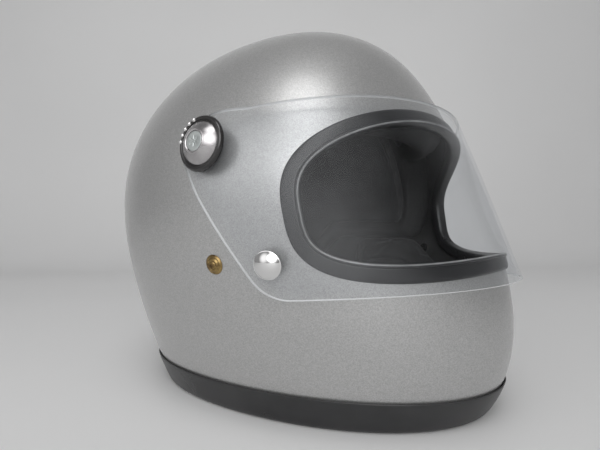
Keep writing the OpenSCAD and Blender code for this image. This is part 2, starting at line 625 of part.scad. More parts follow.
// Point of the strap's plane at a distance down the anchor from its slot and a distance out of it
function at_slot(down, out) = let (frame = rivet_frame(-plate_depth - plate_t / 2),
    u = [frame[0][0], frame[1][0], frame[2][0]],
    p = [frame[0][3], frame[1][3], frame[2][3]] + (slot_drop + down) * u + out * rivet_normal)
    [p * rivet_level, p[2]];
slot_lay = plate_t / 2 + strap_t / 2 + strap_play;
outer_lay = wall + strap_room + strap_t / 2;
// Length of the turned-over end, and heights of the run down the wall and of the turn under the pad
turned_end = 15;
wall_run = [58:-8:26];
under_z = 19.5;
inner_r = wall_out(30, cheek_depth + cheek_t);
hang = concat(
    [at_slot(turned_end, -slot_lay), at_slot(0, -slot_lay), at_slot(0, slot_lay), at_slot(7, slot_lay)],
    [for (z = wall_run) [wall_out(z, outer_lay), z]],
    [[wall_out(22.5, outer_lay + 0.6), under_z + 2.7], [wall_out(21, outer_lay + 3.5), under_z + 0.4],
     [wall_out(20, outer_lay + 8), under_z]]);
// The long half dips towards the ground and is folded back on itself
fold_z = 1.6;
fold_rise = 2.6;
fold_r = inner_r - 16;
end_r = inner_r - 38;
snap_r_out = inner_r - 28;
module chin_strap_long() color("#1d1d1f") on_side(1) strap_plane() difference() {
    linear_extrude(strap_w, center = true)
        ribbon(concat(hang, [[inner_r + 6, 15], [inner_r, 9], [inner_r - 8, 4], [fold_r, fold_z],
            [end_r, fold_z], [end_r - 1.5, fold_z + fold_rise / 2], [end_r, fold_z + fold_rise],
            [fold_r, fold_z + fold_rise]]));
    translate([snap_r_out, -1, 0]) rotate([-90, 0, 0]) cylinder(r = post_r + run_gap, h = 12, $fn = 48);
}
post_r = 1.5;
loop_gap = 0.35;
bar_step = ring_wire + 0.4;
lower_bar = [fold_r, 0.4 + strap_t + loop_gap + ring_wire / 2];
upper_bar = lower_bar + [0, bar_step];
loop_r = ring_wire / 2 + loop_gap;
module loop_shape(extra) {
    r = loop_r + extra;
    for (at = [lower_bar, upper_bar]) translate(at) circle(r = r, $fn = 48);
    translate(lower_bar - [r, 0]) square([2 * r, bar_step]);
}
module chin_strap_short() color("#1d1d1f") on_side(-1) strap_plane() difference() {
    union() {
        linear_extrude(strap_w, center = true)
            ribbon(concat(hang, [[inner_r + 6, 15], [inner_r, 11], [inner_r - 6, 7.6],
                lower_bar + [0, bar_step * 0.7]]));
        linear_extrude(strap_w, center = true) loop_shape(strap_t);
    }
    linear_extrude(strap_w + 2, center = true) loop_shape(0);
}
// A ring with a straight bar at its origin, bent wire that reaches out by its half width
ring_half = strap_w / 2 + ring_wire / 2 + 0.6;
ring_lift = 12;
module d_ring(bar_at, lift) strap_plane() translate([bar_at[0], bar_at[1], 0]) rotate(-lift) {
    cylinder(r = ring_wire / 2, h = 2 * ring_half, center = true, $fn = 32);
    rotate([90, 0, 0]) rotate(90) rotate_extrude(angle = 180, $fn = 96)
        translate([ring_half, 0]) circle(r = ring_wire / 2, $fn = 32);
}
module d_ring_lower() color("#b9bbbf") on_side(-1) d_ring(lower_bar, 0);
module d_ring_upper() color("#b9bbbf") on_side(-1) d_ring(upper_bar, ring_lift);
// The long strap's end is folded back and held by this small snap
module strap_end_snap() color("#b9bbbf") on_side(1) strap_plane()
    translate([snap_r_out, 0, 0]) rotate([-90, 0, 0]) {
    top = fold_z + fold_rise + strap_t / 2 + 0.1;
    translate([0, 0, top]) cylinder(r = 5, h = 1.2, $fn = 48);
    translate([0, 0, fold_z]) cylinder(r = post_r, h = top - fold_z + 0.5, $fn = 48);
}

outer_shell();
impact_liner();
chin_bar_liner();
eyeport_gasket();
base_trim();
comfort_liner();
brow_pad();
cheek_pad_left();
cheek_pad_right();
neck_roll();
visor();
pivot_pin(1);  // pivot_pin_left
pivot_pin(-1);  // pivot_pin_right
pivot_nut(1);  // pivot_nut_left
pivot_nut(-1);  // pivot_nut_right
pivot_washer(1);  // pivot_washer_left
pivot_washer(-1);  // pivot_washer_right
knob_ring(1);  // knob_ring_left
knob_ring(-1);  // knob_ring_right
ring_rivets(1);  // ring_rivets_left
ring_rivets(-1);  // ring_rivets_right
knob_cap(1);  // knob_cap_left
knob_cap(-1);  // knob_cap_right
knob_screw(1);  // knob_screw_left
knob_screw(-1);  // knob_screw_right
snap_cap(1);  // snap_cap_left
snap_cap(-1);  // snap_cap_right
snap_stud(1);  // snap_stud_left
snap_stud(-1);  // snap_stud_right
strap_rivet(1);  // strap_rivet_left
strap_rivet(-1);  // strap_rivet_right
strap_anchor(1);  // strap_anchor_left
strap_anchor(-1);  // strap_anchor_right
chin_strap_long();
chin_strap_short();
d_ring_upper();
d_ring_lower();
strap_end_snap();
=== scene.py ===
import bmesh
import bpy
import numpy as np
from mathutils import Matrix


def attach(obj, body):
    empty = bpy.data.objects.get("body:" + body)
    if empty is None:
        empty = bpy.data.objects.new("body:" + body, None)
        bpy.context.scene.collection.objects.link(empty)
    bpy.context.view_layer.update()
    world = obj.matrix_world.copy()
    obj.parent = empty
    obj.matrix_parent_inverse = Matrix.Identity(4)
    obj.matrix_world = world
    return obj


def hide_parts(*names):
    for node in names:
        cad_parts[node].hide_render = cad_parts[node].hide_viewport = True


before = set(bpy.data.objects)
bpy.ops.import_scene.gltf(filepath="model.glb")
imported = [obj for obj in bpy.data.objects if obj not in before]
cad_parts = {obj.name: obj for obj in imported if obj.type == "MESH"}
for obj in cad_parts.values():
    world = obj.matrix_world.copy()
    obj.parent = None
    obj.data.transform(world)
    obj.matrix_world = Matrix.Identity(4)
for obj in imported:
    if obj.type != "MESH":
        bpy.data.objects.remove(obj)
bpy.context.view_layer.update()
RIGHT, LEFT = -1, 1

# Camera

CAMERA_AT = np.array([0.20402, -0.26932, 0.11017])
CAMERA_YAW, CAMERA_PITCH, CAMERA_ROLL = 0.665, -0.018, -0.010
FOCAL_LENGTH, SENSOR_WIDTH, NEAREST_SEEN = 25.37, 36.0, 0.01


def place_camera():
    """Camera axes: forward from yaw and pitch, then right and up turned about it by the roll."""
    forward = np.array([-np.sin(CAMERA_YAW) * np.cos(CAMERA_PITCH),
                        np.cos(CAMERA_YAW) * np.cos(CAMERA_PITCH), -np.sin(CAMERA_PITCH)])
    right = np.array([np.cos(CAMERA_YAW), np.sin(CAMERA_YAW), 0.0])
    up = np.cross(right, forward)
    turned_right = right * np.cos(CAMERA_ROLL) + up * np.sin(CAMERA_ROLL)
    turned_up = -right * np.sin(CAMERA_ROLL) + up * np.cos(CAMERA_ROLL)
    lens = bpy.data.cameras.new("camera")
    lens.lens = FOCAL_LENGTH
    lens.sensor_width = SENSOR_WIDTH
    lens.clip_start = NEAREST_SEEN
    camera = bpy.data.objects.new("camera", lens)
    bpy.context.scene.collection.objects.link(camera)
    turn = Matrix(np.column_stack([turned_right, turned_up, -forward]).tolist()).to_4x4()
    camera.matrix_world = Matrix.Translation(CAMERA_AT.tolist()) @ turn
    bpy.context.scene.camera = camera


place_camera()

# Sizes of the helmet

SHELL_LEN, SHELL_W, SHELL_H, WALL = 300.0, 245.0, 260.0, 4.0
FRONT_CURVE = SHELL_LEN / 2 * np.array([0.94, 1.243, 0.88, 0.69, 1.063])
SIDE_CURVE = SHELL_W / 2 * np.array([0.718, 0.898, 1.106, 1.086, 0.959])
BACK_CURVE = SHELL_LEN / 2 * np.array([0.703, 0.99, 1.003, 0.927, 1.063])
DOME_START, DOME_POWER, FULLNESS = 0.37 * SHELL_H, 2.43, 0.019
PORT_HALF_ANGLE, PORT_H, PORT_MID_Z, PORT_DROP, PORT_SQUARE = np.radians(57.0), 87.0, 135.0, 33.0, 3.1
BASE_Z, GASKET_W, GASKET_T, TRIM_H, TRIM_T = 4.0, 10.0, 1.8, 19.5, 1.6
VISOR_T, VISOR_TOP, VISOR_BOTTOM = 2.0, 186.0, 81.0
BROW_GAP, CHIN_GAP, SIDE_GAP, EAR_GAP = 7.4, 7.5, 4.8, 4.5
EAR_R, EAR_DROP, EAR_BLEND, CORNER_R, CORNER_X, CORNER_DROP = 16.0, 1.0, 15.0, 22.0, 76.2, 5.3
PIVOT_X, PIVOT_Z, KNOB_TILT = 33.5, 158.0, 0.5
RING_R, RING_T, CAP_R, CAP_H, CAP_TOP_R, CAP_BULGE = 15.5, 3.0, 12.4, 4.0, 6.5, 1.6
SNAP_R, SNAP_RISE, SNAP_INSET, SNAP_WAY = 7.7, 3.4, 13.5, np.radians(205.5)
STUD_R, STEM_R, RIVET_R, RIVET_X, RIVET_Z = 3.0, 3.4, 5.7, 32.0, 93.0
SEAT_GAP, LINER_GAP, RUN_GAP, STRAP_ROOM = 0.3, 0.7, 0.08, 1.4
FOAM_T, COMFORT_T, CHEEK_T, CHIN_T, NECK_T = 25.0, 7.0, 24.0, 18.0, 18.0
STRAP_W, STRAP_T, PLATE_T, RING_WIRE = 22.0, 1.4, 1.5, 3.0

# Depths of the lining under the shell's outer surface

GLUE_GAP = 1.3
FOAM_OUT = WALL + LINER_GAP
FOAM_IN = FOAM_OUT + FOAM_T
COMFORT_OUT = FOAM_IN + GLUE_GAP

# The wall measured level near the base, where the shell leans in, with a little room for the trim

BASE_LEAN, BASE_ROOM = 0.85, 0.8
WALL_LEVEL = WALL / BASE_LEAN + BASE_ROOM

# Small steps round the section, in radians, and up the height, for directions on a surface

TURN_STEP, RISE_STEP = 0.002, 0.3

# Surface of the shell


def bezier(controls, t):
    """Curve of degree four through five controls at t from 0 to 1."""
    u = 1 - t
    weights = [u ** 4, 4 * t * u ** 3, 6 * t * t * u * u, 4 * t ** 3 * u, t ** 4]
    return sum(c * w for c, w in zip(controls, weights))


def shell_radii(z):
    """Front, side and back radii at height z: three curves times a dome that closes at the crown."""
    rise = np.maximum(0, (z - DOME_START) / (SHELL_H - DOME_START))
    dome = np.sqrt(np.maximum(0, 1 - rise ** DOME_POWER))
    t = z / SHELL_H
    return dome * bezier(FRONT_CURVE, t), dome * bezier(SIDE_CURVE, t), dome * bezier(BACK_CURVE, t)


def fill(a):
    """Slight squareness of a section between its axes."""
    return 1 + FULLNESS * np.sin(2 * a) ** 2


def on_section(radii, a, z):
    """Point at angle a of an egg-shaped section: the x radius blends from back to front by the cosine."""
    front, side, back = radii
    q = fill(a)
    along = back + (front - back) * (1 + np.cos(a)) / 2
    return np.stack(np.broadcast_arrays(along * np.cos(a) * q, side * np.sin(a) * q, z), axis=-1)


def section_angle(radii, x):
    """Angle at which such a section reaches x, from a quadratic in the cosine, refined twice for fill."""
    half, gap = (radii[0] + radii[2]) / 2, (radii[0] - radii[2]) / 2

    def cosine(at):
        """Cosine of the angle at which a section without fullness reaches that x."""
        root = np.sqrt(np.maximum(0, half * half + 4 * gap * at))
        return np.clip(2 * at / (half + root), -1, 1)

    first = np.arccos(cosine(x))
    second = np.arccos(cosine(x / fill(first)))
    return np.arccos(cosine(x / fill(second)))


def shell(a, z):
    """Point on the shell's outer surface."""
    return on_section(shell_radii(z), a, z)


def unit(v):
    """Vectors scaled to length one."""
    return v / np.maximum(np.linalg.norm(v, axis=-1, keepdims=True), 1e-9)


def shell_normal(a, z):
    """Outward normal: cross product of small steps round the section and up the height."""
    a, z = np.broadcast_arrays(np.asarray(a, float), np.asarray(z, float))
    dz = np.minimum(RISE_STEP, np.maximum(1e-4, (SHELL_H - z) / 2))
    around = shell(a + TURN_STEP, z) - shell(a - TURN_STEP, z)
    upward = shell(a, z + dz) - shell(a, z - dz)
    normal = unit(np.cross(around, upward))
    return np.where(z[..., None] > SHELL_H - 0.01, np.array([0.0, 0.0, 1.0]), normal)


def inset(a, z, depth):
    """Point at that depth under the shell's outer surface, square to it."""
    return shell(a, z) - np.asarray(depth)[..., None] * shell_normal(a, z)


def level(a, z, out):
    """Point at that distance outside the shell at the same height."""
    normal = shell_normal(a, z) * np.array([1.0, 1.0, 0.0])
    return shell(a, z) + np.asarray(out)[..., None] * unit(normal)


def smooth(t):
    """Step from 0 to 1 with level ends."""
    t = np.clip(t, 0, 1)
    return t * t * (3 - 2 * t)


def ramp(a, low, high):
    """Smooth step in the cosine of a, from 0 at angle low to 1 at angle high, given in degrees."""
    low, high = np.cos(np.radians(low)), np.cos(np.radians(high))
    return smooth((np.cos(a) - low) / (high - low))


def dome_row(z0, share):
    """Height at that share of the way from z0 to the crown, closer together near the crown."""
    return SHELL_H - (SHELL_H - z0) * (1 - np.sin(np.pi / 2 * share))


# Meshes from arrays of points


def grid_faces(rows, cols, wrap_rows=False, wrap_cols=False, start=0):
    """Quads between neighbouring rows and columns of a grid of points, numbered row by row."""
    i = np.arange(rows if wrap_rows else rows - 1)[:, None]
    j = np.arange(cols if wrap_cols else cols - 1)[None, :]
    after, beside = (i + 1) % rows, (j + 1) % cols
    return (np.stack([i * cols + j, after * cols + j, after * cols + beside, i * cols + beside], axis=-1)
            .reshape(-1, 4) + start)


def grid_rim(rows, cols):
    """Point numbers once round the edge of such a grid."""
    i, j = np.arange(rows), np.arange(cols)
    return np.concatenate([j, i[1:] * cols + cols - 1, (rows - 1) * cols + j[-2::-1], i[-2:0:-1] * cols])


def fan_faces(ring, pole):
    """Triangles from a closed ring of point numbers to one pole."""
    ring = np.asarray(ring)
    return np.stack([ring, np.roll(ring, -1), np.full(len(ring), pole)], axis=-1)


def strip_faces(first, second):
    """Quads between two open rows of point numbers."""
    first, second = np.asarray(first), np.asarray(second)
    return np.stack([first[:-1], second[:-1], second[1:], first[1:]], axis=-1)


def pole_offset():
    """Distance that centres the model's box: half the visor's reach less half the shell's at the back."""
    reach = shell_radii(np.array(VISOR_BOTTOM))[0] + CHIN_GAP + VISOR_T / 2
    rear = max(shell_radii(np.array(float(z)))[2] for z in range(100, 151, 5))
    return (reach - rear) / 2


POLE_OFFSET = pole_offset()


def to_metres(points):
    """Millimetres from the pole axis to metres in the model's frame."""
    return (np.asarray(points, float).reshape(-1, 3) - [POLE_OFFSET, 0, 0]) / 1000


def to_millimetres(points):
    """Metres in the model's frame to millimetres from the pole axis."""
    return points * 1000 + [POLE_OFFSET, 0, 0]


def points_and_corners(mesh):
    """A mesh's points and the point number of each of its faces' corners."""
    points = np.zeros(len(mesh.vertices) * 3)
    mesh.vertices.foreach_get("co", points)
    corners = np.zeros(len(mesh.loops), int)
    mesh.loops.foreach_get("vertex_index", corners)
    return points.reshape(-1, 3), corners


MERGED_WITHIN = 2e-6


def as_lists(faces):
    """Groups of faces as one plain list."""
    return [face for group in faces for face in group.tolist()]


def build(name, points, faces, finish, body, nodes, sharp, uv=None, second=None, groups=()):
    """Mesh piece from points and groups of faces, with its normals turned outwards and smooth shading
    broken at edges sharper than so many degrees. It rides on a body, stands for CAD nodes and takes a
    material slot. The groups numbered in groups take the second finish."""
    mesh = bpy.data.meshes.new(name)
    mesh.from_pydata(to_metres(points).tolist(), [], as_lists(faces))
    which = [np.full(len(group), number in groups, int) for number, group in enumerate(faces)]
    mesh.polygons.foreach_set("material_index", np.concatenate(which))
    mesh.materials.append(finish)
    if second:
        mesh.materials.append(second)
    work = bmesh.new()
    work.from_mesh(mesh)
    bmesh.ops.remove_doubles(work, verts=work.verts, dist=MERGED_WITHIN)
    bmesh.ops.recalc_face_normals(work, faces=work.faces)
    work.to_mesh(mesh)
    work.free()
    mesh.polygons.foreach_set("use_smooth", np.ones(len(mesh.polygons), bool))
    mesh.set_sharp_from_angle(angle=np.radians(sharp))
    piece = bpy.data.objects.new(name, mesh)
    bpy.context.scene.collection.objects.link(piece)
    if uv is not None:
        layer = mesh.uv_layers.new(name="weave")
        where, corners = points_and_corners(mesh)
        layer.data.foreach_set("uv", uv(to_millimetres(where))[corners].ravel())
    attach(piece, body)
    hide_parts(*nodes)
    return piece


def mirrored(points):
    """The same points on the other side of the helmet."""
    return np.asarray(points) * [1, -1, 1]


def sided(points, side):
    """Points of the right side, mirrored for the left."""
    return points if side == RIGHT else mirrored(points)


def side_name(side):
    """Ending of a piece's name on that side."""
    return "right" if side == RIGHT else "left"


# Materials

# Where a colour Mix node has its share and its two colours among its inputs, and its colour among its
# outputs

MIX_SHARE, MIX_FIRST, MIX_SECOND, MIX_RESULT = 0, 6, 7, 2

# Scale of a noise whose features are a millimetre wide, and cells to the metre

NOISE_OF_ONE_MM, FLAKES, BEADS = 500.0, 2300.0, 330.0


class Finish:
    """A material under construction: a Principled shader and short calls that add nodes before it."""

    def __init__(self, name, colour, rough, metal=0.0, **sockets):
        """A new material with its colour, roughness, metallic share and any other even values."""
        self.material = bpy.data.materials.new(name)
        self.material.use_nodes = True
        self.tree = self.material.node_tree
        self.shader = self.tree.nodes["Principled BSDF"]
        self.set("Base Color", (*colour, 1))
        self.set("Roughness", rough)
        self.set("Metallic", metal)
        for socket, value in sockets.items():
            self.set(socket.replace("_", " "), value)
        self.where = self.tree.nodes.new("ShaderNodeTexCoord")

    def set(self, socket, value):
        """Even value on one of the shader's sockets."""
        self.shader.inputs[socket].default_value = value

    def node(self, kind, links=(), **values):
        """Adds a node: values set its inputs by name or its settings, links feed its inputs."""
        made = self.tree.nodes.new("ShaderNode" + kind)
        sockets = {socket.name.lower(): socket for socket in made.inputs}
        for key, value in values.items():
            if key in sockets:
                sockets[key].default_value = value
            else:
                setattr(made, key, value)
        for socket, source in dict(links).items():
            self.tree.links.new(source, made.inputs[socket])
        return made

    def noise(self, size_mm, detail, roughness=0.5):
        """Noise on Object coordinates whose features are about size_mm wide."""
        return self.node("TexNoise", {"Vector": self.where.outputs["Object"]}, roughness=roughness,
                         scale=NOISE_OF_ONE_MM / size_mm, detail=detail).outputs["Fac"]

    def shade(self, value, stops):
        """Colour ramp over a value: stops are (position, colour or grey)."""
        made = self.node("ValToRGB", {"Fac": value})
        ends = made.color_ramp.elements
        while len(ends) < len(stops):
            ends.new(0.5)
        for end, (at, colour) in zip(ends, stops):
            grey = isinstance(colour, (int, float))
            end.position = at
            end.color = (colour, colour, colour, 1) if grey else (*colour, 1)
        return made.outputs["Color"]

    def feed(self, socket, value):
        """Feeds a node's input from another node's output or sets it to a number."""
        if isinstance(value, bpy.types.NodeSocket):
            self.tree.links.new(value, socket)
        else:
            socket.default_value = value

    def tinted(self, first, second):
        """One colour multiplied by another."""
        made = self.node("Mix", data_type="RGBA", blend_type="MULTIPLY")
        made.inputs[MIX_SHARE].default_value = 1.0
        self.feed(made.inputs[MIX_FIRST], first)
        self.feed(made.inputs[MIX_SECOND], second)
        return made.outputs[MIX_RESULT]

    def sum(self, first, second, operation="ADD"):
        """Arithmetic on two values, each a socket or a number."""
        made = self.node("Math", operation=operation)
        self.feed(made.inputs[0], first)
        self.feed(made.inputs[1], second)
        return made.outputs[0]

    def drive(self, socket, source):
        """Lets a node's output feed one of the shader's sockets."""
        self.tree.links.new(source, self.shader.inputs[socket])

    def bump(self, height, depth_mm, strength):
        """Relief of that depth from a height between 0 and 1."""
        made = self.node("Bump", {"Height": height}, strength=strength, distance=depth_mm / 1000)
        self.drive("Normal", made.outputs["Normal"])

    def see_through(self, share, tint):
        """Lets light straight through, tinted, but for that share, which is a socket or a number."""
        clear = self.node("BsdfTransparent")
        clear.inputs["Color"].default_value = (*tint, 1)
        both = self.node("MixShader")
        self.feed(both.inputs[0], share)
        self.tree.links.new(clear.outputs[0], both.inputs[1])
        self.tree.links.new(self.shader.outputs[0], both.inputs[2])
        self.tree.links.new(both.outputs[0], self.tree.nodes["Material Output"].inputs["Surface"])


def silver_paint():
    """Metallic silver with fine flakes, each a cell of its own brightness, under a clear coat."""
    paint = Finish("silver_paint", (0.45, 0.449, 0.447), 0.45, 0.75, Coat_Weight=0.7, Coat_Roughness=0.12)
    flakes = paint.node("TexVoronoi", {"Vector": paint.where.outputs["Object"]}, scale=FLAKES)
    tone = paint.node("SeparateColor", {"Color": flakes.outputs["Color"]}).outputs["Red"]
    dim, bright = (0.385, 0.384, 0.382), (0.525, 0.524, 0.521)
    spread = paint.shade(tone, [(0.0, dim), (1.0, bright)])
    cloud = paint.shade(paint.noise(60, 3), [(0.3, 0.96), (0.7, 1.0)])
    paint.drive("Base Color", paint.tinted(spread, cloud))
    paint.drive("Roughness", paint.shade(paint.noise(35, 4), [(0.3, 0.38), (0.75, 0.44)]))
    paint.bump(tone, 0.01, 0.15)
    return paint.material


def shell_inside():
    """Dark resin-rich laminate on the shell's inner wall."""
    wall = Finish("shell_inside", (0.05, 0.05, 0.052), 0.6)
    wall.bump(wall.noise(2.5, 4), 0.25, 0.6)
    wall.drive("Base Color", wall.shade(wall.noise(8, 4), [(0.3, 0.03), (0.8, 0.07)]))
    return wall.material


def trim_rubber():
    """Smooth black rubber, dulled where dust and handling have taken the shine off."""
    rubber = Finish("trim_rubber", (0.014, 0.014, 0.015), 0.32, Specular_IOR_Level=0.5)
    dust = rubber.noise(24, 5, 0.65)
    clean, dusty = (0.013, 0.013, 0.014), (0.034, 0.034, 0.035)
    rubber.drive("Base Color", rubber.shade(dust, [(0.42, clean), (0.85, dusty)]))
    rubber.drive("Roughness", rubber.shade(dust, [(0.35, 0.27), (0.8, 0.46)]))
    rubber.bump(rubber.noise(6, 2), 0.03, 0.25)
    return rubber.material


def gasket_lip_highlight():
    """Rolled inner lip of the gasket in a pale satin grey, partly paler rubber and partly painted
    highlight: it stands in for the thin light line that the lip catches all round the port.
    """
    lip = Finish("gasket_lip_highlight", (0.2, 0.2, 0.202), 0.3, Coat_Weight=0.3)
    highlight_patches = lip.noise(7, 4, 0.6)
    # Pale grey, brighter in noise patches, is painted highlight on the lip; the same patches vary its
    # roughness.
    lip.drive("Base Color", lip.shade(highlight_patches, [(0.3, 0.13), (0.7, 0.3)]))
    lip.drive("Roughness", lip.shade(highlight_patches, [(0.3, 0.38), (0.8, 0.24)]))
    return lip.material


def lining_fabric():
    """Black brushed fabric: short nap from fine noise, mottled where it is worn, with a soft sheen."""
    cloth = Finish("lining_fabric", (0.012, 0.012, 0.013), 0.92, Sheen_Weight=0.14, Sheen_Roughness=0.45)
    cloth.set("Sheen Tint", (0.55, 0.56, 0.6, 1))
    cloth.drive("Base Color", cloth.shade(cloth.noise(9, 5, 0.7), [(0.35, 0.009), (0.8, 0.03)]))
    nap = cloth.sum(cloth.noise(0.9, 3, 0.7), cloth.noise(3.5, 3))
    cloth.bump(nap, 0.35, 0.5)
    return cloth.material


def liner_foam():
    """Matte black coated foam with faint beads."""
    foam = Finish("liner_foam", (0.022, 0.022, 0.024), 0.8)
    beads = foam.node("TexVoronoi", {"Vector": foam.where.outputs["Object"]}, scale=BEADS)
    foam.drive("Base Color", foam.shade(beads.outputs["Distance"], [(0.0, 0.03), (0.8, 0.016)]))
    foam.bump(foam.sum(1.0, beads.outputs["Distance"], "SUBTRACT"), 0.4, 0.4)
    return foam.material


def visor_clear():
    """Clear polished sheet: mostly see-through, with a mirror share that grows with the fifth power of
    how far it faces away. A faint pale haze in patches, thin in the middle and thickest at the sides, is
    smudges in its patches and painted reflection in its rise to the sides. The haze shows where the sheet
    is seen square on, the mirror where it is seen along."""
    sheet = Finish("visor_clear", (0.90, 0.91, 0.93), 0.08, 0.85, Specular_IOR_Level=0.2)
    marks = sheet.noise(26, 5, 0.6)
    facing_away = sheet.node("LayerWeight", blend=0.5).outputs["Facing"]
    dull = sheet.shade(facing_away, [(0.3, 0.45), (0.55, 0.0)])
    sheet.drive("Roughness", sheet.sum(dull, sheet.shade(marks, [(0.4, 0.05), (0.75, 0.16)])))
    sheet.drive("Metallic", sheet.shade(facing_away, [(0.3, 0.0), (0.65, 0.9)]))
    grazing = sheet.sum(sheet.sum(facing_away, 5.0, "POWER"), 0.6, "MULTIPLY")
    across = sheet.node("SeparateXYZ", {"Vector": sheet.where.outputs["Object"]}).outputs["Y"]
    from_middle = sheet.sum(across, 0.0, "ABSOLUTE")
    # The pale haze that grows towards the sides is painted reflection; the marks noise adds smudges.
    sides_painted_reflection = sheet.shade(from_middle, [(0.062, 0.003), (0.098, 0.052)])
    smudges_and_painted_reflection = sheet.sum(sides_painted_reflection, sheet.shade(marks, [(0.4, 0.55), (0.75, 1.0)]), "MULTIPLY")
    sheet.see_through(sheet.sum(grazing, smudges_and_painted_reflection), (0.965, 0.97, 0.975))
    return sheet.material


def visor_rim():
    """Polished edge of the sheet, where gathered light makes it pale."""
    edge = Finish("visor_rim", (0.86, 0.87, 0.88), 0.12, Coat_Weight=0.6)
    edge.drive("Roughness", edge.shade(edge.noise(4, 3), [(0.3, 0.06), (0.8, 0.3)]))
    edge.see_through(0.62, (0.9, 0.91, 0.92))
    return edge.material


def knob_chrome():
    """Spun bright cap: chrome with faint turned rings and handling marks."""
    metal = Finish("knob_chrome", (0.47, 0.455, 0.46), 0.24, 1.0, Anisotropic=0.6)
    metal.drive("Roughness", metal.shade(metal.noise(5, 4), [(0.3, 0.20), (0.8, 0.32)]))
    dull, bright = (0.40, 0.385, 0.39), (0.52, 0.505, 0.51)
    metal.drive("Base Color", metal.shade(metal.noise(3, 3), [(0.3, dull), (0.7, bright)]))
    metal.bump(metal.noise(0.6, 2), 0.006, 0.3)
    return metal.material


def snap_chrome():
    """Mirror chrome with slight smears."""
    metal = Finish("snap_chrome", (0.78, 0.775, 0.77), 0.05, 1.0)
    metal.drive("Roughness", metal.shade(metal.noise(4, 4), [(0.4, 0.03), (0.85, 0.16)]))
    metal.bump(metal.noise(3, 2), 0.03, 0.3)
    return metal.material


def disc_metal():
    """Satin light grey metal of the knob's centre screw."""
    metal = Finish("disc_metal", (0.50, 0.53, 0.525), 0.38, 0.75)
    dull, bright = (0.42, 0.45, 0.445), (0.58, 0.61, 0.60)
    metal.drive("Base Color", metal.shade(metal.noise(1.6, 4), [(0.3, dull), (0.8, bright)]))
    metal.bump(metal.noise(0.35, 2), 0.02, 0.4)
    return metal.material


def knob_black():
    """Gloss black moulded plastic with light rubbing on it."""
    plastic = Finish("knob_black", (0.012, 0.011, 0.011), 0.16, Coat_Weight=0.4)
    plastic.drive("Roughness", plastic.shade(plastic.noise(5, 5), [(0.35, 0.10), (0.8, 0.34)]))
    plastic.bump(plastic.noise(0.8, 2), 0.01, 0.3)
    return plastic.material


def aged_brass():
    """Brass with brown tarnish that settles in patches."""
    metal = Finish("aged_brass", (0.40, 0.29, 0.11), 0.32, 1.0)
    stain = metal.noise(2.4, 4, 0.6)
    tarnish, brass = (0.10, 0.062, 0.03), (0.38, 0.27, 0.115)
    metal.drive("Base Color", metal.shade(stain, [(0.34, tarnish), (0.64, brass)]))
    metal.drive("Roughness", metal.shade(stain, [(0.3, 0.5), (0.7, 0.26)]))
    metal.bump(metal.noise(0.5, 3), 0.03, 0.4)
    return metal.material


def plated_steel():
    """Zinc-plated steel, brushed and a little spotted."""
    metal = Finish("plated_steel", (0.56, 0.57, 0.59), 0.3, 1.0)
    metal.drive("Roughness", metal.shade(metal.noise(3, 5), [(0.3, 0.2), (0.8, 0.42)]))
    dull, bright = (0.46, 0.47, 0.48), (0.62, 0.63, 0.65)
    metal.drive("Base Color", metal.shade(metal.noise(6, 4), [(0.3, dull), (0.75, bright)]))
    metal.bump(metal.noise(0.4, 2), 0.01, 0.4)
    return metal.material


def strap_webbing():
    """Black woven webbing: ribs along the strap crossed by fine picks, read from the piece's own UVs
    in millimetres along and across."""
    cloth = Finish("strap_webbing", (0.016, 0.016, 0.017), 0.75, Sheen_Weight=0.2)
    across = cloth.node("TexWave", {"Vector": cloth.where.outputs["UV"]}, scale=0.62, distortion=0.3,
                        bands_direction="Y")
    along = cloth.node("TexWave", {"Vector": cloth.where.outputs["UV"]}, scale=0.9, distortion=0.4)
    weave = cloth.sum(across.outputs["Fac"], along.outputs["Fac"], "MULTIPLY")
    cloth.drive("Base Color", cloth.shade(weave, [(0.0, 0.008), (0.8, 0.03)]))
    cloth.bump(weave, 0.25, 0.8)
    return cloth.material


SILVER, INSIDE, RUBBER, LIP_HIGHLIGHT = silver_paint(), shell_inside(), trim_rubber(), gasket_lip_highlight()
FABRIC, FOAM, WEBBING = lining_fabric(), liner_foam(), strap_webbing()
CLEAR, RIM, CHROME, MIRROR, DISC = visor_clear(), visor_rim(), knob_chrome(), snap_chrome(), disc_metal()
BLACK, BRASS, STEEL = knob_black(), aged_brass(), plated_steel()

# Shell


def port_mid(a):
    """Height of the port's middle line, falling towards the sides."""
    return PORT_MID_Z - PORT_DROP * (1 - np.cos(a))


def port_half(a):
    """Half the port's height: a rounded rectangle that closes at the port's ends."""
    share = np.minimum(1, np.abs(a) / PORT_HALF_ANGLE)
    return PORT_H / 2 * np.maximum(0, 1 - share ** PORT_SQUARE) ** (1 / PORT_SQUARE)


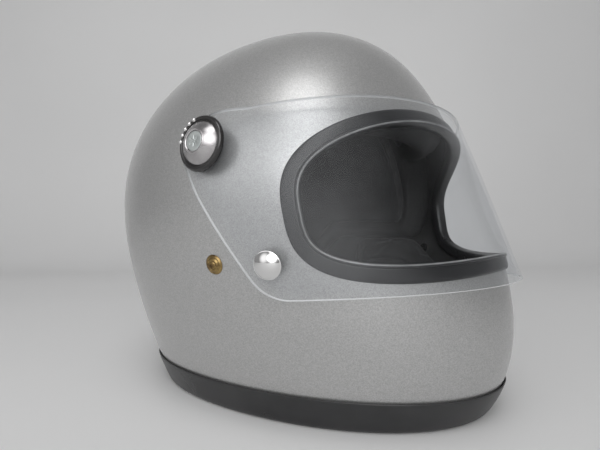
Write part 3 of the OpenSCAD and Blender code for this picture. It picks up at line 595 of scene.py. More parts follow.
def outer_shell(port_cols=140, back_cols=150, rows_below=40, rows_above=70):
    """Two skins a wall apart. Columns cross the port at closer angles near its ends. Below the port
    the rows run from the base to its lower edge, above it from its upper edge to the crown."""
    ends = -PORT_HALF_ANGLE * np.cos(np.pi * np.arange(port_cols + 1) / port_cols)
    rest = np.linspace(PORT_HALF_ANGLE, 2 * np.pi - PORT_HALF_ANGLE, back_cols + 1)[1:-1]
    angles = np.concatenate([ends, rest])
    cols = len(angles)
    half = np.where(np.arange(cols) <= port_cols, port_half(angles), 0)
    low, high = port_mid(angles) - half, port_mid(angles) + half
    below = BASE_Z + (low - BASE_Z) * np.linspace(0, 1, rows_below + 1)[:, None]
    above = dome_row(high, np.linspace(0, 1, rows_above + 1)[:-1, None])
    heights = np.concatenate([below, above])
    skins, faces, offset = [], [], 0
    for depth in (0.0, WALL):
        points = inset(np.broadcast_to(angles, heights.shape), heights, np.full(heights.shape, depth))
        pole = [[0, 0, SHELL_H - depth]]
        skins.append(np.concatenate([points.reshape(-1, 3), pole]))
        faces.append(grid_faces(rows_below + 1, cols, wrap_cols=True, start=offset))
        upper = (rows_below + 1) * cols + offset
        faces.append(grid_faces(rows_above, cols, wrap_cols=True, start=upper))
        last = upper + (rows_above - 1) * cols + np.arange(cols)
        faces.append(fan_faces(last, offset + heights.size))
        offset += heights.size + 1
    base = np.append(np.arange(cols), 0)
    lower = rows_below * cols + np.arange(port_cols + 1)
    upper = (rows_below + 1) * cols + np.arange(port_cols + 1)
    faces += [strip_faces(row, row + offset // 2) for row in (base, lower, upper)]
    return build("shell", np.concatenate(skins), faces, SILVER, "helmet", ["outer_shell"],
                 sharp=50, second=INSIDE, groups=(3, 4, 5))


outer_shell()

# Rubber trims


def cut_corners(first, second, share):
    """Points at that share and at one less it of the way from each first point to its second."""
    near, far = first * (1 - share) + second * share, first * share + second * (1 - share)
    return np.stack([near, far], 1).reshape(-1, 2)


def rounded(outline):
    """Closed outline with its corners cut twice, at a quarter and three quarters of each side."""
    outline = np.asarray(outline, float)
    for _ in range(2):
        outline = cut_corners(outline, np.roll(outline, -1, axis=0), 0.25)
    return outline


# The rolled lip's share of the gasket's section, the fine steps that measure its run, the height under
# which the trim's foot is flat, and how far each rubber reaches inside the wall

LIP_COLUMNS, FINE_STEPS = slice(21, 25), 4001
FLAT_BELOW, PAD_FOOT = 0.08, 1.6


def eyeport_gasket(stations=420):
    """Rubber section carried round the port's edge: each corner moves inwards across the edge and out
    along the shell's normal."""
    half = GASKET_W / 2
    below = -WALL - SEAT_GAP - 0.2
    foot = below - PAD_FOOT
    section = rounded([[-half, SEAT_GAP], [-half, GASKET_T * 0.45], [-half + 1.2, GASKET_T],
                       [half - 2.6, GASKET_T + 0.2], [half - 2.3, GASKET_T], [half - 1.9, GASKET_T + 0.9],
                       [half - 0.3, GASKET_T + 0.9], [half, GASKET_T - 0.2], [half, -0.5],
                       [half - 1.5, foot], [-3.5, foot], [-3.5, below],
                       [SEAT_GAP, below], [SEAT_GAP, SEAT_GAP]])
    t = np.linspace(0, 2 * np.pi, FINE_STEPS)
    bow = 2 / PORT_SQUARE
    a = -PORT_HALF_ANGLE * np.sign(np.cos(t)) * np.abs(np.cos(t)) ** bow
    z = port_mid(a) - PORT_H / 2 * np.sign(np.sin(t)) * np.abs(np.sin(t)) ** bow
    run = np.concatenate([[0], np.cumsum(np.linalg.norm(np.diff(shell(a, z), axis=0), axis=1))])
    even = np.linspace(0, run[-1], stations + 1)[:-1]
    a, z = np.interp(even, run, a), np.interp(even, run, z)
    edge, normal = shell(a, z), shell_normal(a, z)
    along = unit(np.roll(edge, -1, 0) - np.roll(edge, 1, 0))
    inward = unit(np.cross(normal, along))
    points = (edge[:, None] + section[None, :, :1] * inward[:, None]
              + section[None, :, 1:] * normal[:, None])
    around = grid_faces(stations, len(section), True, True).reshape(stations, len(section), 4)
    # The rolled lip's faces take a pale second finish that is painted highlight.
    lip = np.arange(len(section))[LIP_COLUMNS]
    faces = [np.delete(around, lip, axis=1).reshape(-1, 4), around[:, lip].reshape(-1, 4)]
    return build("port_gasket", points, faces, RUBBER, "helmet", ["eyeport_gasket"], sharp=60,
                 second=LIP_HIGHLIGHT, groups=(1,))


def base_trim(stations=360):
    """Rubber channel carried round the shell's lower edge, at level distances from the shell."""
    inner = -WALL_LEVEL - PAD_FOOT
    section = rounded([[inner, 2], [inner + 1.2, 0], [TRIM_T - 3, 0], [TRIM_T - 0.9, 0.8], [TRIM_T, 3],
                       [TRIM_T, TRIM_H - 0.6], [TRIM_T - 0.5, TRIM_H], [0.5, TRIM_H],
                       [0.5, BASE_Z - SEAT_GAP], [-WALL_LEVEL, BASE_Z - SEAT_GAP], [-WALL_LEVEL, 14],
                       [inner, 14]])
    section[:, 1] = np.where(section[:, 1] < FLAT_BELOW, 0, section[:, 1])
    a = np.linspace(0, 2 * np.pi, stations + 1)[:-1]
    out = np.broadcast_to(section[None, :, 0], (stations, len(section)))
    points = level(a[:, None], section[None, :, 1], out)
    faces = [grid_faces(stations, len(section), True, True)]
    return build("base_trim_rubber", points, faces, RUBBER, "helmet", ["base_trim"], sharp=60)


eyeport_gasket()
base_trim()

# Lining


FOAM_LOW, FOAM_UP_CHEEKS, FOAM_UP_PORT = 40, 72, 76
COMFORT_UP, COMFORT_UP_PORT = 6, 24


def foam_edge(a):
    """Lower edge of the foam: over the port in front, above the cheek pads, low at the back."""
    return FOAM_LOW + FOAM_UP_CHEEKS * ramp(a, 125, 100) + FOAM_UP_PORT * ramp(a, 66, 48)


def comfort_edge(a):
    """Lower edge of the comfort lining: a little above the foam's, and more so over the port."""
    return foam_edge(a) + COMFORT_UP + COMFORT_UP_PORT * ramp(a, 62, 47)


QUILT_SEAMS, SEAM_SPREAD, LIP_TUCK = (-62.0, -22.0, 22.0, 62.0), 3.0, 0.8


def bowl(name, depth_out, depth_in, edge, finish, node, cols=180, rows=46, quilting=0.0):
    """Bowl between two depths under the shell, from edge(a) up to the crown. Its lower lip is rounded.
    Quilting draws the inner face in along seams that run from front to back."""
    a = np.linspace(0, 2 * np.pi, cols + 1)[:-1]
    lip = np.linspace(0, np.pi, 9)[1:-1]
    share = np.linspace(0, 1, rows + 1)[:-1]
    middle, half = (depth_in + depth_out) / 2, (depth_in - depth_out) / 2
    heights = dome_row(edge(a)[None, :], share[:, None])
    angles = np.broadcast_to(a, heights.shape)

    def face(depth, pull):
        """One face at that depth, pulled in by a bell-shaped groove along each seam."""
        flat = inset(angles, heights, np.full(heights.shape, depth))
        if pull == 0:
            return flat
        seams = np.minimum.reduce([np.abs(flat[..., 1] - y) for y in QUILT_SEAMS])
        groove = np.exp(-(seams / SEAM_SPREAD) ** 2) * smooth(share[:, None] * 6)
        return inset(angles, heights, depth - pull * groove)

    inner, outer = face(depth_in, quilting), face(depth_out, 0)
    low = edge(a)
    tuck = half * LIP_TUCK
    turn = [inset(a, low - tuck * np.sin(t), np.full(cols, middle + half * np.cos(t))) for t in lip]
    rings = np.concatenate([inner[::-1], np.array(turn), outer])
    count = len(rings) * cols
    poles = [[0, 0, SHELL_H - depth_in], [0, 0, SHELL_H - depth_out]]
    points = np.concatenate([rings.reshape(-1, 3), poles])
    faces = [grid_faces(len(rings), cols, wrap_cols=True), fan_faces(np.arange(cols), count),
             fan_faces(count - cols + np.arange(cols), count + 1)]
    piece = build(name, points, faces, finish, "helmet", [node], sharp=70)
    return piece


RIM_LOSS = 0.62


def cushion_form(angles, low, high, depth, thick, crown, cols=90, rows=40):
    """Closed form on the inside of the shell, between two angles and two heights: a flat back, and a
    face that swells to the middle and draws in at the sides by fourth powers."""
    u = np.linspace(-1, 1, cols + 1)[:, None]
    v = np.linspace(-1, 1, rows + 1)[None, :]
    a = np.radians(angles[0] + (angles[1] - angles[0]) * (u + 1) / 2)
    z = low(a) + (high(a) - low(a)) * (v + 1) / 2
    swell = np.sqrt((1 - np.abs(u) ** 4) * (1 - np.abs(v) ** 4))
    a = np.broadcast_to(a, z.shape)
    back = inset(a, z, np.full(z.shape, depth))
    face = inset(a, z, depth + thick * (1 - crown * RIM_LOSS * (1 - swell)))
    m, n = z.shape
    rim = grid_rim(m, n)
    rim = np.append(rim, rim[0])
    faces = [grid_faces(m, n), grid_faces(m, n, start=m * n), strip_faces(rim, rim + m * n)]
    return np.concatenate([back.reshape(-1, 3), face.reshape(-1, 3)]), faces


def under(points):
    """Angle, height and depth of points under the shell: least-squares steps along its two tangents."""
    a, z = np.arctan2(points[:, 1], points[:, 0]), np.clip(points[:, 2], 1, SHELL_H - 2)
    for _ in range(10):
        skin, normal = shell(a, z), shell_normal(a, z)
        depth = ((skin - points) * normal).sum(1)
        off = points - inset(a, z, depth)
        around = (inset(a + TURN_STEP, z, depth) - inset(a - TURN_STEP, z, depth)) / (2 * TURN_STEP)
        upward = (inset(a, z + RISE_STEP, depth) - inset(a, z - RISE_STEP, depth)) / (2 * RISE_STEP)
        aa, au, uu = ((p * q).sum(1) for p, q in ((around, around), (around, upward), (upward, upward)))
        by_a, by_z = (off * around).sum(1), (off * upward).sum(1)
        span = aa * uu - au * au
        a = a + (by_a * uu - by_z * au) / span
        z = np.clip(z + (by_z * aa - by_a * au) / span, 1, SHELL_H - 2)
    return a, z, depth


def finished(work):
    """Points in metres and four-sided faces of an object with its modifiers applied."""
    shape = work.evaluated_get(bpy.context.evaluated_depsgraph_get()).to_mesh()
    points, corners = points_and_corners(shape)
    return points, corners.reshape(-1, 4)


def work_object(points, faces):
    """Object for shaping a cover, which is removed again."""
    mesh = bpy.data.meshes.new("cover")
    mesh.from_pydata(points.tolist(), [], faces)
    work = bpy.data.objects.new("cover", mesh)
    bpy.context.scene.collection.objects.link(work)
    return work


def discard(work):
    """Removes a work object and its mesh."""
    mesh = work.data
    bpy.data.objects.remove(work)
    bpy.data.meshes.remove(mesh)


# Pressure in a cover, its spare cloth, the size of its cells, its stiffness and the length of its run

PRESSURE, COVER_EASE, COVER_CELL, COVER_BEND, FRAMES = 4.0, 0.05, 4.5, 0.2, 20


def blown(points, faces, held, cap):
    """Cloth with pressure inside and no gravity, run for twenty frames with the held points still. No
    point moves farther than the cap."""
    work = work_object(points, faces.tolist())
    work.vertex_groups.new(name="held").add(np.flatnonzero(held).tolist(), 1.0, "REPLACE")
    cover = work.modifiers.new("cover", "CLOTH")
    cover.settings.quality = 6
    cover.settings.use_pressure = True
    cover.settings.uniform_pressure_force = PRESSURE
    cover.settings.effector_weights.gravity = 0
    cover.settings.vertex_group_mass = "held"
    cover.settings.shrink_min = -COVER_EASE
    cover.settings.bending_stiffness = COVER_BEND
    cover.collision_settings.use_collision = False
    for step in range(1, FRAMES + 1):
        bpy.context.scene.frame_set(step)
    move = finished(work)[0] - points
    bpy.context.scene.frame_set(1)
    discard(work)
    length = np.linalg.norm(move, axis=1, keepdims=True)
    return points + move * np.minimum(1, cap / np.maximum(length, 1e-9))


# Depths and half widths of a cushion's seam, puckers and channels, and how many puckers there are

SEAM_DEPTH, SEAM_HALF, PUCKER_DEPTH, PUCKER_HALF, PUCKERS = 1.3, 1.3, 0.35, 5, 60
CHANNEL_SHARE, CHANNEL_HALF, MEAN_RADIUS = 0.11, 1.9, 105


def cushion(name, angles, low, high, depth, thick, node, cap, seam=0.84, channels=()):
    """Stuffed fabric cushion. A form smaller than its room by the cap is remeshed to even cells, blown
    up as cloth on its flat back, subdivided twice and kept inside its room. Then a seam is sewn round
    its face at a share of its half size, with puckers beside it, and channels across it at shares of
    its height. Seams, puckers and channels are bell-shaped in section."""
    side_room = np.degrees(cap / MEAN_RADIUS) * np.sign(angles[1] - angles[0])
    points, faces = cushion_form((angles[0] + side_room, angles[1] - side_room), lambda a: low(a) + cap,
                                 lambda a: high(a) - cap, depth, thick - cap, crown=0.8)
    work = work_object(to_metres(points), as_lists(faces))
    cells = work.modifiers.new("cells", "REMESH")
    cells.mode = "VOXEL"
    cells.voxel_size = COVER_CELL / 1000
    points, faces = finished(work)
    discard(work)
    held = under(to_millimetres(points))[2] < depth + COVER_CELL / 2
    points = blown(points, faces, held, cap / 1000)
    work = work_object(points, faces.tolist())
    smoother = work.modifiers.new("cells", "SUBSURF")
    smoother.levels = 2
    points, faces = finished(work)
    discard(work)
    a, z, deep = under(to_millimetres(points))
    first, last = np.radians(min(angles)), np.radians(max(angles))
    middle = (first + last) / 2
    turn = np.arctan2(np.sin(a - middle), np.cos(a - middle))
    u = np.clip(turn / ((last - first) / 2), -1, 1)
    a = middle + u * (last - first) / 2
    v = np.clip(2 * (z - low(a)) / (high(a) - low(a)) - 1, -1, 1)
    z = low(a) + (high(a) - low(a)) * (v + 1) / 2
    rim = (u ** 4 + v ** 4) ** 0.25
    height = (high(a) - low(a)) / 2
    sewn = SEAM_DEPTH * np.exp(-((rim - seam) * height / SEAM_HALF) ** 2)
    beside = np.exp(-((rim - seam) * height / PUCKER_HALF) ** 2)
    pucker = PUCKER_DEPTH * beside * np.sin(PUCKERS * np.arctan2(v, u))
    sunk = sum(CHANNEL_SHARE * thick * np.exp(-((v - at) * height / CHANNEL_HALF) ** 2) * (rim < seam)
               for at in channels)
    on_face = smooth((deep - depth) / thick * 2.2 - 0.5)
    deep = np.clip(deep, depth, depth + thick) - on_face * (sewn + pucker + sunk)
    points = inset(a, z, np.maximum(deep, depth))
    piece = build(name, points, [faces], FABRIC, "helmet", [node], sharp=80)


def straight(value):
    """An edge at the same height all along."""
    return lambda a: np.full(np.shape(a), float(value))


CHEEK_HIGH, CHEEK_UP_BACK = 82, 22


def cheek_top(a):
    """Upper edge of a cheek cushion: under the port in front, higher behind it."""
    return CHEEK_HIGH + CHEEK_UP_BACK * ramp(a, 50, 66)


bowl("foam_bowl", FOAM_OUT, FOAM_IN, foam_edge, FOAM, "impact_liner")
bowl("comfort_bowl", COMFORT_OUT, COMFORT_OUT + COMFORT_T, comfort_edge, FABRIC, "comfort_liner",
     quilting=2.2)
cushion("brow_cushion", (44, -44), straight(192), straight(212), FOAM_IN + LINER_GAP, COMFORT_T + 1,
        "brow_pad", cap=2.5, seam=0.7)
cushion("neck_cushion", (258, 102), straight(16), straight(36), FOAM_OUT + SEAT_GAP, NECK_T,
        "neck_roll", cap=3.5, seam=0.7)
points, faces = cushion_form((30, -30), straight(22), straight(80), FOAM_OUT, CHIN_T, crown=0.3)
build("chin_foam", points, faces, FOAM, "helmet", ["chin_bar_liner"], sharp=60)
LAY_ROOM, CHEEK_ROOM = 0.25, 0.7
PLATE_DEPTH = WALL + STRAP_ROOM + STRAP_T + LAY_ROOM
CHEEK_DEPTH = PLATE_DEPTH + PLATE_T + STRAP_T + CHEEK_ROOM
for side in (RIGHT, LEFT):
    cushion("cheek_cushion_" + side_name(side), (34 * side, 94 * side), straight(24), cheek_top,
            CHEEK_DEPTH, CHEEK_T, "cheek_pad_" + side_name(side), cap=5, channels=(-0.3, 0.35))

# Visor

PIVOT_ANGLE = -section_angle(shell_radii(np.array(PIVOT_Z)), np.array(PIVOT_X))
PIVOT_SKIN, PIVOT_NORMAL = shell(PIVOT_ANGLE, np.array(PIVOT_Z)), shell_normal(PIVOT_ANGLE, PIVOT_Z)
KNOB_NORMAL = unit(PIVOT_NORMAL * [KNOB_TILT, 1, KNOB_TILT])
EAR_MID = np.array([PIVOT_X, PIVOT_SKIN[1] + EAR_GAP / PIVOT_NORMAL[1], PIVOT_Z])
SHEET_TURN, SHEET_RISE = 0.005, 0.5
CORNER_AT = np.array([CORNER_X, VISOR_BOTTOM - CORNER_DROP + CORNER_R])
RIM_BOW, RIM_SHARE, RIM_TURNS = 0.45, 0.86, np.radians([62, 30, 0, -30, -62])
FRONT_LOW = shell_radii(np.array(VISOR_BOTTOM))[0] + CHIN_GAP
FRONT_HIGH = shell_radii(np.array(VISOR_TOP))[0] + BROW_GAP


def visor_radii(z):
    """Radii of the visor's middle surface: a straight slope in front, at the sides the shell's with a
    gap, and the shell's own behind."""
    front, side, back = shell_radii(z)
    slope = FRONT_LOW + (FRONT_HIGH - FRONT_LOW) * (z - VISOR_BOTTOM) / (VISOR_TOP - VISOR_BOTTOM)
    return slope, side + SIDE_GAP, back


def flatten(points):
    """Points near the pivot pulled into the knob's plane, less and less beyond the ear's radius."""
    reach = np.linalg.norm(points - EAR_MID, axis=-1)
    share = 1 - smooth((reach - EAR_R - EAR_DROP) / EAR_BLEND)
    off = (EAR_MID - points) @ KNOB_NORMAL
    return points + (share * off)[..., None] * KNOB_NORMAL


def visor_at(x, z, out):
    """Point of the visor's right half at x and z in the side view, moved out along its own normal."""
    def surface(a, height):
        """Middle surface at angle a and that height."""
        return flatten(on_section(visor_radii(height), a, height))

    a = -section_angle(visor_radii(z), x)
    around = surface(a + SHEET_TURN, z) - surface(a - SHEET_TURN, z)
    upward = surface(a, z + SHEET_RISE) - surface(a, z - SHEET_RISE)
    return surface(a, z) + np.asarray(out)[..., None] * unit(np.cross(around, upward))


def arc(centre, radius, start, end, n):
    """Points of an arc, angles in radians."""
    t = np.linspace(start, end, n + 1)
    return np.array(centre) + radius * np.stack([np.cos(t), np.sin(t)], 1)


def run(start, end, n, bunched=False):
    """Points of a straight run after its start, bunched by a sine towards its end where asked."""
    share = np.arange(1, n + 1) / n
    if bunched:
        share = np.sin(np.pi / 2 * share)
    return np.array(start) + (np.array(end) - np.array(start)) * share[:, None]


def visor_lines(ear=26, back=26, corner=26, front=66):
    """Upper and lower edges of the visor's right half in the side view, from behind the ear to the
    front: arcs round the ear and the lower corner, joined by their common tangents."""
    ear_at, brow = np.array([PIVOT_X, PIVOT_Z - EAR_DROP]), np.array([FRONT_HIGH, VISOR_TOP])
    to_brow, to_corner = brow - ear_at, CORNER_AT - ear_at
    top_turn = np.arctan2(to_brow[1], to_brow[0]) + np.arccos(EAR_R / np.linalg.norm(to_brow))
    back_turn = (np.arctan2(to_corner[1], to_corner[0]) + 2 * np.pi
                 - np.arccos((EAR_R - CORNER_R) / np.linalg.norm(to_corner)))
    rear_turn = (top_turn + back_turn) / 2
    bend = arc(ear_at, EAR_R, rear_turn, top_turn, ear)
    upper = np.concatenate([bend, run(bend[-1], brow, back + corner + front, True)])
    bend = arc(ear_at, EAR_R, rear_turn, back_turn, ear)
    turn = arc(CORNER_AT, CORNER_R, back_turn, 1.5 * np.pi, corner)
    lower = np.concatenate([bend, run(bend[-1], turn[0], back), turn[1:],
                            run(turn[-1], [FRONT_LOW, VISOR_BOTTOM], front, True)])
    return upper, lower


def visor(rows=54):
    """Sheet between the two edge lines: an outer and an inner face and a rim bowed out between them."""
    upper, lower = visor_lines()
    upper, lower = upper[1:], lower[1:]
    share = np.linspace(0, 1, rows + 1)
    x = lower[:, :1] + (upper[:, :1] - lower[:, :1]) * share
    z = lower[:, 1:] + (upper[:, 1:] - lower[:, 1:]) * share

    def whole(out):
        """Both halves of the sheet at that distance from its middle surface."""
        right = visor_at(x, z, np.full(x.shape, out))
        return np.concatenate([mirrored(right)[:-1], right[::-1]])

    outer, middle, inner = whole(VISOR_T / 2), whole(0.0), whole(-VISOR_T / 2)
    m, n = outer.shape[:2]
    rim = grid_rim(m, n)
    edge_out, edge_mid, edge_in = (g.reshape(-1, 3)[rim] for g in (outer, middle, inner))
    toward = np.zeros((m, n, 3))
    toward[:, 0], toward[:, -1] = middle[:, 0] - middle[:, 1], middle[:, -1] - middle[:, -2]
    toward[0], toward[-1] = middle[0] - middle[1], middle[-1] - middle[-2]
    away = unit(toward.reshape(-1, 3)[rim])
    bows = [edge_mid + away * RIM_BOW * np.cos(t) + (edge_out - edge_in) / 2 * RIM_SHARE * np.sin(t)
            for t in RIM_TURNS]
    points = np.concatenate([outer.reshape(-1, 3), inner.reshape(-1, 3), *bows])
    count = len(rim)
    rings = [rim] + [2 * m * n + k * count + np.arange(count) for k in range(len(bows))] + [rim + m * n]
    faces = [grid_faces(m, n), grid_faces(m, n, start=m * n)]
    faces += [strip_faces(np.append(a, a[0]), np.append(b, b[0])) for a, b in zip(rings, rings[1:])]
    return build("visor_sheet", points, faces, CLEAR, "visor_assembly", ["visor"], sharp=40,
                 second=RIM, groups=range(2, len(faces)))


visor()

# Turned pieces


def facing(at, normal):
    """Point and three axes of a frame whose third axis is the normal, tilted and then turned to it."""
    tilt, turn = np.arccos(normal[2]), np.arctan2(normal[1], normal[0])
    first = np.array([np.cos(tilt) * np.cos(turn), np.cos(tilt) * np.sin(turn), -np.sin(tilt)])
    return at, first, np.array([-np.sin(turn), np.cos(turn), 0.0]), normal


def place(local, seat):
    """Points of a local frame put in their place."""
    at, first, second, third = seat
    return at + local[..., :1] * first + local[..., 1:2] * second + local[..., 2:] * third


def lathe(profile, steps=96, relief=None):
    """Profile of radius and height turned round the third axis. A radius of zero becomes a pole.
    relief(r, t) adds to the height."""
    profile = np.asarray(profile, float)
    t = np.linspace(0, 2 * np.pi, steps + 1)[:-1]
    r = profile[:, :1] * np.ones(steps)
    h = profile[:, 1:] * np.ones(steps)
    if relief is not None:
        h = h + relief(r, t[None, :])
    return np.stack([r * np.cos(t), r * np.sin(t), h], -1)


def turned(name, profile, seat, finish, body, nodes, side, steps=96, relief=None, *, sharp):
    """Solid of revolution on a seat. A profile that doesn't run from pole to pole is closed on itself."""
    points = place(lathe(profile, steps, relief), seat).reshape(-1, 3)
    closed = not (profile[0][0] == 0 and profile[-1][0] == 0)
    faces = [grid_faces(len(profile), steps, wrap_rows=closed, wrap_cols=True)]
    return build(name, sided(points, side), faces, finish, body, nodes, sharp)


BORE_R, RAY_DEPTH, RAY_HALF = 9.2, 0.26, 0.36


def knob(side):
    """Black ring, bright cap with a raised rim, and the centre disc with six short rays pressed in."""
    tag = "_" + side_name(side)
    seat = facing(EAR_MID + VISOR_T / 2 * KNOB_NORMAL, KNOB_NORMAL)
    ring = rounded([[BORE_R, 0.0], [RING_R, 0.0], [RING_R, RING_T - 1.3], [RING_R - 1.0, RING_T],
                    [CAP_R + 0.5, RING_T], [CAP_R + 0.4, RING_T - 1], [BORE_R, RING_T - 1]])
    turned("knob_ring_black" + tag, ring.tolist(), seat, BLACK, "visor_assembly", ["knob_ring" + tag],
           side, sharp=50)
    base, top = RING_T - 1, RING_T + CAP_H
    t = np.radians(np.linspace(4, 86, 30))
    dome = np.stack([CAP_TOP_R + (CAP_R - CAP_TOP_R) * np.cos(t) ** CAP_BULGE,
                     base + (top - base) * np.sin(t) ** CAP_BULGE], 1).tolist()
    rim = [[CAP_TOP_R + 0.25, top - 0.05], [CAP_TOP_R, top + 0.12], [CAP_TOP_R - 0.5, top + 0.1],
           [CAP_TOP_R - 0.85, top - 0.25], [CAP_TOP_R - 0.95, top - 0.8]]
    cap = [[CAP_R, base]] + dome + rim + [[2.0, top - 0.8], [2.0, base + 2.2], [CAP_R - 1.6, base]]
    turned("knob_cap_bright" + tag, cap, seat, CHROME, "visor_assembly", ["knob_cap" + tag], side,
           128, sharp=32)
    disc_r = CAP_TOP_R - 1.1
    radii = np.concatenate([np.linspace(0, 3.9, 40), np.linspace(4.2, disc_r, 8)])
    level_z = top - 0.28

    def rays(r, t):
        """Six pressed rays: a narrow groove at each sixth of a turn, tapering out from the middle."""
        off = np.abs((t + np.pi / 6) % (np.pi / 3) - np.pi / 6) * r
        length = smooth((r - 0.5) / 0.6) * (1 - smooth((r - 2.7) / 0.9))
        return -RAY_DEPTH * length * np.exp(-(off / RAY_HALF) ** 2) * (r < disc_r - 0.6)

    face = [[float(r), level_z - 0.22 * smooth((r - disc_r + 0.5) / 0.5)] for r in radii]
    disc = face + [[disc_r, level_z - 0.5], [1.5, level_z - 0.5], [1.5, base + 2.3], [0, base + 2.3]]
    turned("knob_disc" + tag, disc, seat, DISC, "visor_assembly", ["knob_screw" + tag], side,
           144, relief=rays, sharp=50)


STEM_DROP, CLIP_R, CLIP_WALL = 0.6, 5.4, 0.5


def dome_profile(radius, rise, n):
    """Slice of a sphere that rises that far over a circle, from its pole to its edge."""
    ball = (radius ** 2 + rise ** 2) / (2 * rise)
    t = np.linspace(0, np.arcsin(radius / ball), n)
    return np.stack([ball * np.sin(t), rise - ball + ball * np.cos(t)], 1)


def snap(side):
    """Polished dome over a rolled edge, with its stem through the visor and a clip behind."""
    tag = "_" + side_name(side)
    x = np.array(CORNER_AT[0] + (CORNER_R - SNAP_INSET) * np.cos(SNAP_WAY))
    z = np.array(CORNER_AT[1] + (CORNER_R - SNAP_INSET) * np.sin(SNAP_WAY))
    middle = visor_at(x, z, np.array(0.0))
    normal = unit(visor_at(x, z, np.array(1.0)) - middle)
    gap = np.linalg.norm(middle - shell(-section_angle(shell_radii(z), x), z)) - VISOR_T / 2 - 1.4
    foot = VISOR_T / 2 + SEAT_GAP / 2
    under = -VISOR_T / 2
    hollow_r = STUD_R + CLIP_WALL
    dome = dome_profile(SNAP_R - 0.35, SNAP_RISE - 0.5, 26) + [0, foot + 0.5]
    edge = [[SNAP_R - 0.08, foot + 0.42], [SNAP_R, foot + 0.2], [SNAP_R - 0.1, foot]]
    stem = [[STEM_R - RUN_GAP, foot], [STEM_R - RUN_GAP, under - STEM_DROP]]
    clip = [[CLIP_R, under - STEM_DROP], [CLIP_R, under - gap], [hollow_r, under - gap],
            [hollow_r, under - 0.7], [0, under - 0.7]]
    turned("snap_button" + tag, dome.tolist() + edge + stem + clip, facing(middle, normal), MIRROR,
           "visor_assembly", ["snap_cap" + tag], side, 120, sharp=45)


RIVET_ANGLE = -section_angle(shell_radii(np.array(RIVET_Z)), np.array(RIVET_X))
RIVET_SKIN, RIVET_NORMAL = shell(RIVET_ANGLE, np.array(RIVET_Z)), shell_normal(RIVET_ANGLE, RIVET_Z)
RIVET_GROOVE, GROOVE_HALF = 0.42, 0.34


def rivet(side):
    """Brass head with two turned rings, its shank through the wall and a washer inside."""
    tag = "_" + side_name(side)
    head = dome_profile(RIVET_R, 2.4, 60)
    groove = sum(np.exp(-((head[:, 0] - r) / GROOVE_HALF) ** 2) for r in (2.4, 4.1))
    head[:, 1] += SEAT_GAP / 2 - RIVET_GROOVE * groove
    deep = -PLATE_DEPTH - PLATE_T
    seat_z, shank_r, washer_r = SEAT_GAP / 2 - 0.1, 2.4, 4
    tail = [[RIVET_R - 0.1, seat_z], [shank_r, seat_z], [shank_r, deep - 0.2], [washer_r, deep - 0.2],
            [washer_r, deep - 0.8], [washer_r - 0.4, deep - 1], [0, deep - 1]]
    turned("rivet_brass" + tag, head.tolist() + tail, facing(RIVET_SKIN, RIVET_NORMAL), BRASS, "helmet",
           ["strap_rivet" + tag], side, 96, sharp=50)


for side in (RIGHT, LEFT):
    knob(side)
    snap(side)
    rivet(side)

# Chin strap

STRAP_OUT = unit(RIVET_NORMAL * [1, 1, 0])
STRAP_AXIS = np.cross([0, 0, 1], STRAP_OUT)
SLOT_DROP, UNDER_Z = 20.0, 19.5
SLOT_LAY = PLATE_T / 2 + STRAP_T / 2 + LAY_ROOM
OUTER_LAY = WALL + STRAP_ROOM + STRAP_T / 2


def wall_out(z, depth):
    """Distance out from the pole axis at height z and that depth under the shell, in the strap's plane."""
    normal = shell_normal(RIVET_ANGLE, z)
    return float(level(RIVET_ANGLE, np.array(float(z)), -depth / np.hypot(*normal[:2])) @ STRAP_OUT)


def at_slot(down, out):
    """Point of the strap's plane at a distance down the anchor from its slot and a distance out of it."""
    downward = unit(np.array([0, 0, -1.0]) + RIVET_NORMAL[2] * RIVET_NORMAL)
    point = (RIVET_SKIN - (PLATE_DEPTH + PLATE_T / 2) * RIVET_NORMAL + (SLOT_DROP + down) * downward
             + out * RIVET_NORMAL)
    return [float(point @ STRAP_OUT), float(point[2])]


def strap_path(tail):
    """Path of the webbing: its turned end, the anchor's slot, down inside the wall, under the cheek pad
    and on along the tail."""
    loop = [at_slot(15, -SLOT_LAY), at_slot(0, -SLOT_LAY), at_slot(0, SLOT_LAY), at_slot(7, SLOT_LAY)]
    down = [[wall_out(z, OUTER_LAY), z] for z in range(58, 25, -8)]
    below = [[wall_out(22.5, OUTER_LAY + 0.6), 22.2], [wall_out(21, OUTER_LAY + 3.5), UNDER_Z + 0.4],
             [wall_out(20, OUTER_LAY + 8), UNDER_Z]]
    return np.array(loop + down + below + tail)


